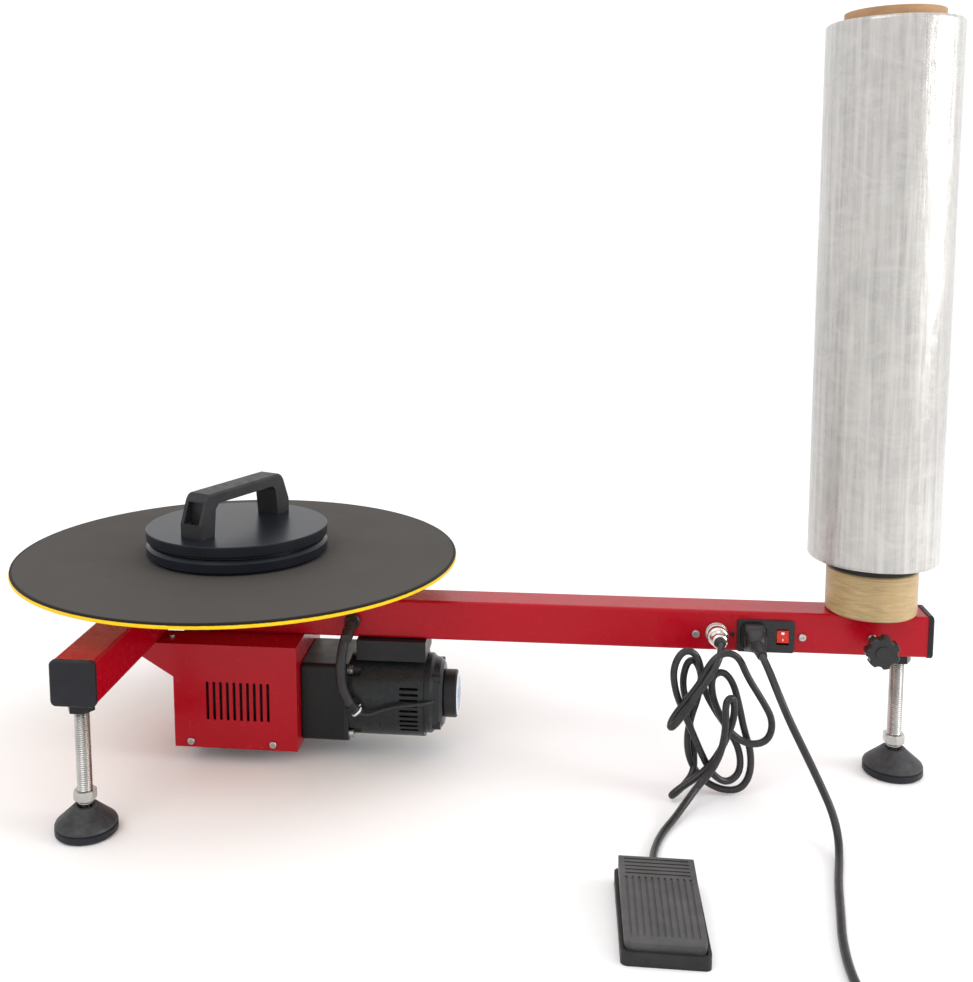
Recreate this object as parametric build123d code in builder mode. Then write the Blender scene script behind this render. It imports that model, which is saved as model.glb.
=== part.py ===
"""Tabletop turntable stretch wrapper: T-shaped frame, driven turntable, hold-down plate and film post.

Millimetres, +Z up, floor at z = 0. X runs along the main beam from the turntable to the film roll,
and Y runs along the crossbar, away from the operator. The origin is on the floor at the centre of
the machine's own box (turntable to film roll, foot pedal to turntable back).
"""

import math
import os

from build123d import *

os.makedirs("parts", exist_ok=True)

# ---------------------------------------------------------------- driving dimensions
table_d = 452.0            # turntable board, edge band included
board_t = 3.4              # turntable board, thin birch plywood
mat_t = 2.0                # rubber mat on the board
mat_inset = 0.8            # mat edge stands back from the board edge
mat_recess = 0.2           # locating recess for the hold-down plate
mat_recess_r = 93.5
roll_distance = 630.0      # turntable axis to film roll axis
film_d = 120.0             # film roll outside
film_width = 500.0         # film web width
core_bore = 76.0           # standard 3 inch core
core_wall = 5.75
core_over = 10.0           # core stands above the film
core_under = 3.0           # core stands below the film
tube_w = 40.0              # square frame tube
tube_wall = 2.0
beam_top = 164.5           # top of the frame tubes above the floor
beam_over = 49.0           # main beam runs on past the film roll's axis
crossbar_offset = 89.6     # turntable axis to the crossbar's middle, against X
crossbar_len = 426.0
foot_inset = 13.0          # crossbar end to the middle of its foot
pad_r = 28.0               # levelling pad
cap_t = 5.0                # flange of a tube end cap
cap_plug = 5.0             # its plug inside the tube
table_gap = 35.6           # beam top to underside of the board
pedal_w = 66.0
pedal_len = 114.0
pedal_reach = 341.0        # turntable axis to the pedal's near edge

run_clear = 0.03           # radial clearance of a shaft in its bore
slip_clear = 0.08          # radial clearance of a sliding post or screw
seat_clear = 0.2           # clearance of a part dropped into its seat
body_gap = 0.3             # air between bodies that move past each other

# ---------------------------------------------------------------- places worked out from them
tx = (table_d / 2 - roll_distance - film_d / 2) / 2    # turntable axis
foot_y = crossbar_len / 2 - foot_inset                 # crossbar feet from the main beam's middle
ty = (pedal_reach - max(table_d / 2, foot_y + pad_r)) / 2
rx = tx + roll_distance                                # film roll axis
beam_end = roll_distance + beam_over                   # turntable axis to the end of the main beam
cx = tx - crossbar_offset                              # crossbar middle
beam_x0 = cx + tube_w / 2                              # main beam's welded end
beam_x1 = tx + beam_end
beam_bottom = beam_top - tube_w
beam_front = ty - tube_w / 2
board_z = beam_top + table_gap
mat_top = board_z + board_t + mat_t


def spin(axis_x, axis_y, z, solid):
    """A solid drawn about the Z axis at the origin, moved to an upright axis."""
    return Pos(axis_x, axis_y, z) * solid


def rod(radius, length, start, direction):
    """A plain round bar from a start point along a direction."""
    with BuildPart() as bar:
        with BuildSketch(Plane(origin=start, z_dir=direction)):
            Circle(radius)
        extrude(amount=length)
    return bar.part


def block(x0, x1, y0, y1, z0, z1):
    """A plain box between two corners."""
    with BuildPart(Plane(origin=((x0 + x1) / 2, (y0 + y1) / 2, z0))) as box:
        Box(x1 - x0, y1 - y0, z1 - z0, align=(Align.CENTER, Align.CENTER, Align.MIN))
    return box.part


def turned(points):
    """A body of revolution about Z from an (r, z) outline."""
    with BuildPart() as body:
        with BuildSketch(Plane.XZ):
            with BuildLine():
                Polyline(*points, close=True)
            make_face()
        revolve(axis=Axis.Z)
    return body.part


def save(part, name):
    """Label a finished piece and write its STEP file."""
    part.label = name
    export_step(part, "parts/" + name + ".step")


# ================================================================ frame
foot_x = beam_end - 22.0          # beam foot from the turntable axis
feet = {
    "front_foot": (cx, ty - foot_y),
    "rear_foot": (cx, ty + foot_y),
    "beam_foot": (tx + foot_x, ty),
}
stud_r = 7.0                      # M14 levelling stud
foot_nut_h = 10.0                 # weld nut under the tube
foot_nut_flats = 22.0
post_r = 15.0                     # film post
socket_wall = 3.0
clamp_r = 4.0                     # M8 clamp screw
clamp_z = beam_bottom + 17.5
bearing_r = 16.0                  # 20 x 32 x 7 ball bearing
bearing_h = 7.0
spindle_r = 10.0
bearing_tube_r = bearing_r + 2.0
bearing_rise = 14.0               # bearing tube above and below the beam
inlet_x = tx + 528.5              # inlet and switch module
inlet_w = 54.0
inlet_h = 32.0
inlet_z = beam_bottom + 16.6
inlet_body_w = 48.0
inlet_body_h = 26.0
socket_x = tx + 482.0             # pedal socket
socket_z = beam_bottom + 18.5
socket_r = 8.0
conduit_x = tx + 123.0            # where the motor conduit enters the beam
conduit_z = beam_bottom + 17.0
conduit_r = 4.5
screw_r = 2.0                     # M4 pan head screws
panel_screw_xs = (tx + 462.6, tx + 562.8)
panel_screw_z = beam_bottom + 16.5

with BuildPart() as main_beam:
    with BuildSketch(Plane.YZ.offset(beam_x0)):
        with Locations((ty, beam_top - tube_w / 2)):
            RectangleRounded(tube_w, tube_w, 3)
            RectangleRounded(tube_w - 2 * tube_wall, tube_w - 2 * tube_wall, 1, mode=Mode.SUBTRACT)
    extrude(amount=beam_x1 - beam_x0)
    # socket that guides the film post
    with BuildSketch(Plane.XY.offset(beam_bottom + tube_wall)):
        with Locations((rx, ty)):
            Circle(post_r + slip_clear + socket_wall)
    extrude(amount=tube_w - 2 * tube_wall)
    # weld nut for the beam foot
    with BuildSketch(Plane.XY.offset(beam_bottom - foot_nut_h)):
        with Locations(feet["beam_foot"]):
            RegularPolygon(foot_nut_flats / 2, 6, major_radius=False)
    extrude(amount=foot_nut_h)
    # upright holes: film post, bearing tube, foot stud
    with BuildSketch(Plane.XY.offset(beam_bottom + tube_wall)):
        with Locations((rx, ty)):
            Circle(post_r + slip_clear)
    extrude(amount=tube_w, mode=Mode.SUBTRACT)
    with BuildSketch(Plane.XY.offset(beam_bottom - 1)):
        with Locations((tx, ty)):
            Circle(bearing_tube_r)
    extrude(amount=tube_w + 2, mode=Mode.SUBTRACT)
    with BuildSketch(Plane.XY.offset(beam_bottom - foot_nut_h)):
        with Locations(feet["beam_foot"]):
            Circle(stud_r + slip_clear)
    extrude(amount=foot_nut_h + tube_wall + 1, mode=Mode.SUBTRACT)
    # front face: clamp screw, inlet module, pedal socket, conduit and panel screws
    with BuildSketch(Plane.XZ.offset(-beam_front)):
        with Locations((rx - 2, clamp_z)):
            Circle(clamp_r + slip_clear)
    extrude(amount=-(tube_w / 2 - post_r + 3), mode=Mode.SUBTRACT)
    with BuildSketch(Plane.XZ.offset(-beam_front)):
        with Locations((inlet_x, inlet_z)):
            Rectangle(inlet_body_w + 2 * seat_clear, inlet_body_h + 2 * seat_clear)
        with Locations((socket_x, socket_z)):
            Circle(socket_r)
        with Locations((conduit_x, conduit_z)):
            Circle(conduit_r + 1.5)
        with Locations(*[(x, panel_screw_z) for x in panel_screw_xs]):
            Circle(screw_r)
    extrude(amount=-tube_wall, mode=Mode.SUBTRACT)
save(main_beam.part, "main_beam")

with BuildPart() as crossbar:
    with BuildSketch(Plane.XZ.offset(-(ty - crossbar_len / 2))):
        with Locations((cx, beam_top - tube_w / 2)):
            RectangleRounded(tube_w, tube_w, 3)
            RectangleRounded(tube_w - 2 * tube_wall, tube_w - 2 * tube_wall, 1, mode=Mode.SUBTRACT)
    extrude(amount=-crossbar_len)
    with BuildSketch(Plane.XY.offset(beam_bottom - foot_nut_h)):
        with Locations(feet["front_foot"], feet["rear_foot"]):
            RegularPolygon(foot_nut_flats / 2, 6, major_radius=False)
    extrude(amount=foot_nut_h)
    with BuildSketch(Plane.XY.offset(beam_bottom - foot_nut_h)):
        with Locations(feet["front_foot"], feet["rear_foot"]):
            Circle(stud_r + slip_clear)
    extrude(amount=foot_nut_h + tube_wall + 1, mode=Mode.SUBTRACT)
save(crossbar.part, "crossbar")


def end_cap(face):
    """Pressed-in plastic cap: a flange over the tube end and a hollow plug inside it."""
    plug = tube_w - 2 * tube_wall - 2 * seat_clear
    with BuildPart() as cap:
        with BuildSketch(face):
            RectangleRounded(tube_w + 2, tube_w + 2, 5)
        extrude(amount=cap_t)
        chamfer(cap.faces().sort_by(Axis(face.origin, face.z_dir))[-1].edges(), 1.2)
        with BuildSketch(face):
            RectangleRounded(plug, plug, 2)
            RectangleRounded(plug - 5, plug - 5, 1, mode=Mode.SUBTRACT)
        extrude(amount=-cap_plug)
    return cap.part


cap_z = beam_top - tube_w / 2
cap_planes = [
    Plane(origin=(beam_x1, ty, cap_z), x_dir=(0, 1, 0), z_dir=(1, 0, 0)),
    Plane(origin=(cx, ty - crossbar_len / 2, cap_z), x_dir=(1, 0, 0), z_dir=(0, -1, 0)),
    Plane(origin=(cx, ty + crossbar_len / 2, cap_z), x_dir=(1, 0, 0), z_dir=(0, 1, 0)),
]
save(Compound(children=[end_cap(p) for p in cap_planes]), "tube_end_caps")

# bearing tube welded through the beam
tube_lo = beam_bottom - bearing_rise
tube_hi = beam_top + bearing_rise
ring_t = 4.0
bore_mid = bearing_r - 2.5
save(
    spin(tx, ty, 0, turned([
        (bearing_r, tube_lo), (bearing_tube_r, tube_lo), (bearing_tube_r, beam_top),
        (bearing_tube_r + 9, beam_top), (bearing_tube_r + 9, beam_top + ring_t),
        (bearing_tube_r, beam_top + ring_t), (bearing_tube_r, tube_hi), (bearing_r, tube_hi),
        (bearing_r, tube_hi - bearing_h), (bore_mid, tube_hi - bearing_h),
        (bore_mid, tube_lo + bearing_h), (bearing_r, tube_lo + bearing_h),
    ])),
    "bearing_tube",
)


def ball_bearing(z):
    """A shielded ball bearing, drawn as its rings with a shallow shield groove."""
    return spin(tx, ty, z, turned([
        (spindle_r + run_clear, 0), (spindle_r + 2.2, 0), (spindle_r + 2.6, 0.5), (bearing_r - 2.6, 0.5),
        (bearing_r - 2.2, 0), (bearing_r, 0), (bearing_r, bearing_h), (bearing_r - 2.2, bearing_h),
        (bearing_r - 2.6, bearing_h - 0.5), (spindle_r + 2.6, bearing_h - 0.5),
        (spindle_r + 2.2, bearing_h), (spindle_r + run_clear, bearing_h),
    ]))


save(Compound(children=[ball_bearing(tube_lo), ball_bearing(tube_hi - bearing_h)]), "spindle_bearings")

# ================================================================ levelling feet
pad_rim = 11.0
pad_top = 27.0
hex_h = 11.0
hex_flats = 18.0
stud_top = beam_bottom + 24.0
ball_r = 6.0
ball_z = 17.0


def foot_stud(x, y):
    """Threaded stud with a hexagon above the ball that the pad snaps on."""
    with BuildPart() as stud:
        with BuildSketch(Plane.XY.offset(ball_z)):
            Circle(stud_r - 3)
        extrude(amount=pad_top + 1 - ball_z)
        with BuildSketch(Plane.XY.offset(pad_top + 1)):
            RegularPolygon(hex_flats / 2, 6, major_radius=False)
        extrude(amount=hex_h)
        with BuildSketch(Plane.XY.offset(pad_top + 1 + hex_h)):
            Circle(stud_r)
        extrude(amount=stud_top - pad_top - 1 - hex_h)
        chamfer(stud.faces().sort_by(Axis.Z)[-1].edges(), 1.2)
        with Locations((0, 0, ball_z)):
            Sphere(ball_r)
    return spin(x, y, 0, stud.part)


def foot_pad(x, y):
    """Swivel pad: a ribbed rubber rim, a plastic cone and a ball socket open at the top."""
    with BuildPart() as pad:
        with BuildSketch(Plane.XZ):
            with BuildLine():
                Polyline(
                    (0, 0), (pad_r - 2, 0), (pad_r, 2), (pad_r, pad_rim - 4), (pad_r - 1, pad_rim - 3.4),
                    (pad_r - 1, pad_rim - 2.4), (pad_r, pad_rim - 2), (pad_r - 1, pad_rim),
                    (12.5, pad_top - 3), (11, pad_top - 1.5), (8, pad_top - 1.5),
                    (5.5, pad_top - 4.5), (5.5, ball_z), (0, ball_z), close=True,
                )
            make_face()
        revolve(axis=Axis.Z)
        with Locations((0, 0, ball_z)):
            Sphere(ball_r + slip_clear, mode=Mode.SUBTRACT)
    return spin(x, y, 0, pad.part)


for foot, (fx, fy) in feet.items():
    save(foot_stud(fx, fy), foot + "_stud")
    save(foot_pad(fx, fy), foot + "_pad")

# ================================================================ drive: places shared by its pieces
motor_z = beam_bottom - 63.0      # motor axis, middle of the gearhead
shaft_drop = 10.0                 # output shaft below the motor axis
shaft_z = motor_z - shaft_drop
gearhead_w = 80.0
gearhead_x0 = tx + 72.5
gearhead_len = 44.0
gearhead_x1 = gearhead_x0 + gearhead_len
case_wall = 6.0
cover_t = 2.0
cover_x0 = tx - 54.0
cover_front = 58.0                # beam middle to cover front
cover_z0 = beam_bottom - 107.5
bracket_t = 6.0
bracket_x0 = gearhead_x0 - cover_t - bracket_t
bracket_half = 45.0
boss_r = 16.0
bolt_pitch = 33.0                 # gearhead bolts from the motor axis, each way
bolt_r = 2.5
shaft_r = 6.0
idler_r = 3.0
rotor_shaft_r = 3.0

# spur gears inside the gearhead: rotor pinion to idler wheel, idler pinion to output wheel
fine_module = 0.6
coarse_module = 0.7
rotor_teeth = 12
idler_wheel_teeth = 48
idler_pinion_teeth = 14
output_teeth = 42
input_centres = fine_module * (rotor_teeth + idler_wheel_teeth) / 2
output_centres = coarse_module * (idler_pinion_teeth + output_teeth) / 2
idler_dz = (output_centres ** 2 - input_centres ** 2 - shaft_drop ** 2) / (2 * shaft_drop)
idler_dy = math.sqrt(input_centres ** 2 - idler_dz ** 2)
idler_y = ty + idler_dy
idler_z = motor_z + idler_dz
output_wheel_x = gearhead_x0 + 12.5
output_wheel_w = 10.0
input_wheel_x = gearhead_x0 + 27.0
input_wheel_w = 6.0


def gear_points(teeth, module, phase):
    """Outline of a spur gear with straight-flanked teeth, one of them centred at the phase angle."""
    pitch_r = teeth * module / 2
    root_r = pitch_r - 1.2 * module
    tip_r = pitch_r + 0.85 * module
    pitch = 2 * math.pi / teeth
    points = []
    for tooth in range(teeth):
        middle = phase + tooth * pitch
        for radius, half in ((root_r, 0.34), (pitch_r, 0.20), (tip_r, 0.09)):
            angle = middle - half * pitch
            points.append((radius * math.cos(angle), radius * math.sin(angle)))
        for radius, half in ((tip_r, 0.09), (pitch_r, 0.20), (root_r, 0.34)):
            angle = middle + half * pitch
            points.append((radius * math.cos(angle), radius * math.sin(angle)))
    return points


def spur_gear(teeth, module, phase, x, y, z, width):
    """A spur gear on an axis along X; angles are measured from +Y towards +Z."""
    with BuildPart() as gear:
        with BuildSketch(Plane(origin=(x, y, z), x_dir=(0, 1, 0), z_dir=(1, 0, 0))):
            with BuildLine():
                Polyline(*gear_points(teeth, module, phase), close=True)
            make_face()
        extrude(amount=width)
    return gear.part


# angle of each line of centres, and the phases that put a tooth into a gap
input_line = math.atan2(idler_dz, idler_dy)
output_line = math.atan2(idler_z - shaft_z, idler_dy)
half_idler_wheel = math.pi / idler_wheel_teeth
half_output = math.pi / output_teeth

# ================================================================ bevel pair
bevel_module = 2.0
bevel_gear_teeth = 36
bevel_pinion_teeth = 18
bevel_face = 12.0
gear_pitch_r = bevel_module * bevel_gear_teeth / 2
pinion_pitch_r = bevel_module * bevel_pinion_teeth / 2
cone_len = math.hypot(gear_pitch_r, pinion_pitch_r)
bevel_add = 0.8 * bevel_module
bevel_ded = 1.15 * bevel_module


def bevel_wheel(pitch_r, axial, teeth, phase, back_points):
    """A straight bevel gear about Z with its pitch cone's apex at the origin.

    The cone opens towards +Z and its large pitch circle is at height axial. back_points closes
    the outline behind the teeth, from the outer root corner round to the inner one.
    """
    along = (pitch_r / cone_len, axial / cone_len)
    out = (axial / cone_len, -pitch_r / cone_len)
    shrink = (cone_len - bevel_face) / cone_len

    def at(height, scale):
        return (
            scale * (cone_len * along[0] + height * out[0]),
            scale * (cone_len * along[1] + height * out[1]),
        )

    def section(scale):
        radius, height = at(0, scale)
        face = Plane(origin=(radius, 0, height), x_dir=(0, 1, 0), z_dir=(along[0], 0, along[1]))
        sign = 1 if face.y_dir.dot(Vector(out[0], 0, out[1])) > 0 else -1
        widths = ((-bevel_ded - 0.8, 2.5), (bevel_add, 0.78))
        corners = [(side * w * scale, sign * h * scale) for side, (h, w) in (
            (-1, widths[0]), (1, widths[0]), (1, widths[1]), (-1, widths[1]))]
        with BuildSketch(face) as outline:
            with BuildLine():
                Polyline(*corners, close=True)
            make_face()
        return outline.sketch

    with BuildPart() as tooth:
        loft([section(1), section(shrink)], ruled=True)
    with BuildPart() as wheel:
        with BuildSketch(Plane.XZ):
            with BuildLine():
                Polyline(at(-bevel_ded, shrink), at(-bevel_ded, 1), *back_points, close=True)
            make_face()
        revolve(axis=Axis.Z)
        with PolarLocations(0, teeth, start_angle=phase):
            add(tooth.part)
    return wheel.part


bevel_hub_r = spindle_r + 5.0
hub_top = tube_lo - body_gap - shaft_z
pinion_hub_r = shaft_r + 4.0
pinion_hub_end = bracket_x0 - 6.0 - tx
bevel_gear_solid = bevel_wheel(
    gear_pitch_r, pinion_pitch_r, bevel_gear_teeth, 180 / bevel_gear_teeth,
    [(gear_pitch_r - 2, pinion_pitch_r + 7), (bevel_hub_r, pinion_pitch_r + 7), (bevel_hub_r, hub_top),
     (spindle_r, hub_top), (spindle_r, pinion_pitch_r - 2)],
)
save(spin(tx, ty, shaft_z, bevel_gear_solid), "bevel_gear")
bevel_pinion_solid = bevel_wheel(
    pinion_pitch_r, gear_pitch_r, bevel_pinion_teeth, 0,
    [(pinion_pitch_r - 3, gear_pitch_r + 6), (pinion_hub_r, gear_pitch_r + 6),
     (pinion_hub_r, pinion_hub_end), (shaft_r, pinion_hub_end), (shaft_r, gear_pitch_r - 11)],
)
pinion_place = Location(Plane(origin=(tx, ty, shaft_z), x_dir=(0, 0, 1), z_dir=(1, 0, 0)))
save(pinion_place * bevel_pinion_solid, "bevel_pinion")

# ================================================================ shafts and gears
shaft_end = output_wheel_x + output_wheel_w + 2
output_shaft = rod(shaft_r, shaft_end - (tx + gear_pitch_r - 12), (tx + gear_pitch_r - 12, ty, shaft_z), (1, 0, 0))
output_wheel = spur_gear(
    output_teeth, coarse_module, output_line + half_output, output_wheel_x, ty, shaft_z, output_wheel_w)
save(output_shaft + output_wheel, "output_shaft")

idler_x0 = gearhead_x0 + 3.0
idler_x1 = gearhead_x1 + 3.0
idler = rod(idler_r, idler_x1 - idler_x0, (idler_x0, idler_y, idler_z), (1, 0, 0))
idler += spur_gear(idler_pinion_teeth, coarse_module, output_line + math.pi, output_wheel_x - 1,
                   idler_y, idler_z, input_wheel_x - output_wheel_x + 1)
idler += spur_gear(idler_wheel_teeth, fine_module, input_line + math.pi + half_idler_wheel,
                   input_wheel_x, idler_y, idler_z, input_wheel_w)
save(idler, "idler_gear")

motor_len = 80.0
motor_x1 = gearhead_x1 + motor_len
rotor_r = 18.0
rotor_x0 = gearhead_x1 + 18.0
rotor_len = 50.0
rotor_shaft_x0 = input_wheel_x - 1
rotor_shaft_x1 = motor_x1 + 9.0
rotor = rod(rotor_shaft_r - 0.2, rotor_shaft_x1 - rotor_shaft_x0, (rotor_shaft_x0, ty, motor_z), (1, 0, 0))
rotor += rod(rotor_r, rotor_len, (rotor_x0, ty, motor_z), (1, 0, 0))
rotor += rod(rotor_shaft_r + 1, rotor_x0 - gearhead_x1 + 2, (gearhead_x1 - 2, ty, motor_z), (1, 0, 0))
rotor += rod(rotor_shaft_r + 1, rotor_shaft_x1 - rotor_x0, (rotor_x0, ty, motor_z), (1, 0, 0))
rotor += spur_gear(rotor_teeth, fine_module, input_line, rotor_shaft_x0, ty, motor_z, input_wheel_w + 2)
save(rotor, "motor_rotor")

# ================================================================ gearhead and motor shells
axle_bore = rotor_shaft_r + 1 + run_clear
with BuildPart() as gearhead_case:
    with BuildSketch(Plane.YZ.offset(gearhead_x0)):
        with Locations((ty, motor_z)):
            RectangleRounded(gearhead_w, gearhead_w, 5)
    extrude(amount=gearhead_len)
    fillet(gearhead_case.faces().sort_by(Axis.X)[0].edges(), 1.5)
    with BuildSketch(Plane.YZ.offset(gearhead_x0)):
        with Locations((ty, shaft_z)):
            Circle(boss_r)
    extrude(amount=-cover_t - 2)
    cavity = gearhead_w - 2 * case_wall
    with BuildSketch(Plane.YZ.offset(gearhead_x0 + case_wall)):
        with Locations((ty, motor_z)):
            RectangleRounded(cavity, cavity, 14)
    extrude(amount=gearhead_len, mode=Mode.SUBTRACT)
    with BuildSketch(Plane.YZ.offset(gearhead_x0 - cover_t - 2)):
        with Locations((ty, shaft_z)):
            Circle(shaft_r + run_clear)
    extrude(amount=case_wall + cover_t + 3, mode=Mode.SUBTRACT)
    with BuildSketch(Plane.YZ.offset(idler_x0 - 0.2)):
        with Locations((idler_y, idler_z)):
            Circle(idler_r + run_clear)
    extrude(amount=case_wall, mode=Mode.SUBTRACT)
    with BuildSketch(Plane.YZ.offset(gearhead_x0)):
        with Locations((ty, motor_z)):
            with GridLocations(2 * bolt_pitch, 2 * bolt_pitch, 2, 2):
                Circle(bolt_r)
    extrude(amount=gearhead_len, mode=Mode.SUBTRACT)
save(gearhead_case.part, "gearhead_case")

motor_half = 42.0
motor_round = 37.0
motor_bore = 34.0
flange_t = 4.0
fin_step = 5.2
fin_count = 9
vent_len = 19.0
vent_step = 5.5
vent_count = 9
with BuildPart() as motor_housing:
    with BuildSketch(Plane.YZ.offset(gearhead_x1)):
        with Locations((ty, motor_z)):
            RectangleRounded(gearhead_w, gearhead_w, 5)
    extrude(amount=flange_t)
    with BuildSketch(Plane.YZ.offset(gearhead_x1 + flange_t)):
        with Locations((ty, motor_z)):
            RectangleRounded(2 * motor_half, 2 * motor_half, motor_round)
    extrude(amount=motor_len - flange_t)
    # pockets for the bolt heads
    with BuildSketch(Plane.YZ.offset(gearhead_x1 + flange_t)):
        with Locations((ty, motor_z)):
            with GridLocations(2 * bolt_pitch, 2 * bolt_pitch, 2, 2):
                Circle(6)
    extrude(amount=12, mode=Mode.SUBTRACT)
    # cooling fins over the top and under the belly
    with BuildSketch(Plane.YZ.offset(gearhead_x1 + 14)):
        with Locations((ty, motor_z + motor_half), (ty, motor_z - motor_half)):
            with GridLocations(fin_step, 1, fin_count, 1):
                Rectangle(1.8, 6)
    extrude(amount=motor_len - 24, mode=Mode.SUBTRACT)
    with BuildSketch(Plane.YZ.offset(gearhead_x1 + 9)):
        with Locations((ty, motor_z)):
            Circle(motor_bore)
    extrude(amount=motor_len, mode=Mode.SUBTRACT)
    # vents through both sides, near the fan end
    with BuildSketch(Plane.XZ.offset(-(ty - motor_half - 1))):
        with Locations((motor_x1 - 5 - vent_len / 2, motor_z - 4)):
            with GridLocations(1, vent_step, 1, vent_count):
                SlotOverall(vent_len, 2.6)
    extrude(amount=-2 * motor_half - 2, mode=Mode.SUBTRACT)
    # shaft, idler pin and bolt holes through the front flange
    with BuildSketch(Plane.YZ.offset(gearhead_x1)):
        with Locations((ty, motor_z)):
            Circle(axle_bore)
            with GridLocations(2 * bolt_pitch, 2 * bolt_pitch, 2, 2):
                Circle(bolt_r)
    extrude(amount=9, mode=Mode.SUBTRACT)
    with BuildSketch(Plane.YZ.offset(gearhead_x1)):
        with Locations((idler_y, idler_z)):
            Circle(idler_r + run_clear)
    extrude(amount=3.2, mode=Mode.SUBTRACT)
save(motor_housing.part, "motor_housing")

with BuildPart() as motor_stator:
    with BuildSketch(Plane.YZ.offset(rotor_x0)):
        with Locations((ty, motor_z)):
            Circle(motor_bore)
            Circle(rotor_r + 0.6, mode=Mode.SUBTRACT)
    extrude(amount=rotor_len)
save(motor_stator.part, "motor_stator")

bell_len = 18.0
bell_r = 40.0
cap_r = 24.0
cap_len = 13.5
upright = Plane(origin=(motor_x1, ty, motor_z), x_dir=(0, 1, 0), z_dir=(1, 0, 0))
bell = turned([
    (axle_bore, 0), (12, 0), (12, 5), (bell_r - 5, 5), (bell_r - 5, 0), (bell_r, 0), (bell_r, 6),
    (bell_r - 3, 9), (bell_r - 5, 15), (bell_r - 9, bell_len), (15, bell_len), (15, 11), (axle_bore, 11),
])
ear = Cylinder(5, 12, align=(Align.CENTER, Align.CENTER, Align.MIN))
ear_ring = bell_r - 6
ears = [Pos(ear_ring * math.cos(math.radians(a)), ear_ring * math.sin(math.radians(a)), 4) * ear
        for a in (45, 135, 225, 315)]
bell = bell + ears
save(Location(upright) * bell, "motor_end_bell")
motor_cap = turned([
    (12.5, bell_len - 4), (14.8, bell_len - 4), (14.8, bell_len), (cap_r - 1, bell_len), (cap_r, bell_len + 1),
    (cap_r, bell_len + cap_len - 1.5), (cap_r - 1.5, bell_len + cap_len), (0, bell_len + cap_len),
    (0, bell_len + cap_len - 2), (cap_r - 3, bell_len + cap_len - 2), (cap_r - 3, bell_len + 2),
    (12.5, bell_len + 2),
])
save(Location(upright) * motor_cap, "motor_cap")

terminal_box = block(tx + 128, tx + 198, ty - 28, ty + 28, motor_z + motor_half, beam_bottom - 0.5)
save(terminal_box, "terminal_box")

bolt_head = flange_t + 4.6
bolts = []
for dy in (-bolt_pitch, bolt_pitch):
    for dz in (-bolt_pitch, bolt_pitch):
        shank = rod(bolt_r, gearhead_x1 + flange_t - bracket_x0, (bracket_x0, ty + dy, motor_z + dz), (1, 0, 0))
        head = rod(4.3, 4.6, (gearhead_x1 + flange_t, ty + dy, motor_z + dz), (1, 0, 0))
        bolts.append(shank + head)
save(Compound(children=bolts), "gearhead_bolts")

# ================================================================ bracket and cover
bracket_z0 = cover_z0 + cover_t + body_gap
bracket_z1 = beam_bottom - cover_t
with BuildPart() as gear_bracket:
    with BuildSketch(Plane.YZ.offset(bracket_x0)):
        with Locations((ty, (bracket_z0 + bracket_z1) / 2)):
            Rectangle(2 * bracket_half, bracket_z1 - bracket_z0)
    extrude(amount=bracket_t)
    with BuildSketch(Plane.XY.offset(bracket_z1 - bracket_t)):
        with Locations((bracket_x0 - 12, ty)):
            Rectangle(26, 2 * bracket_half)
    extrude(amount=bracket_t)
    with BuildSketch(Plane.YZ.offset(bracket_x0)):
        with Locations((ty, shaft_z)):
            Circle(boss_r + seat_clear)
        with Locations((ty, motor_z)):
            with GridLocations(2 * bolt_pitch, 2 * bolt_pitch, 2, 2):
                Circle(bolt_r)
    extrude(amount=bracket_t, mode=Mode.SUBTRACT)
save(gear_bracket.part, "gear_bracket")

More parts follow.
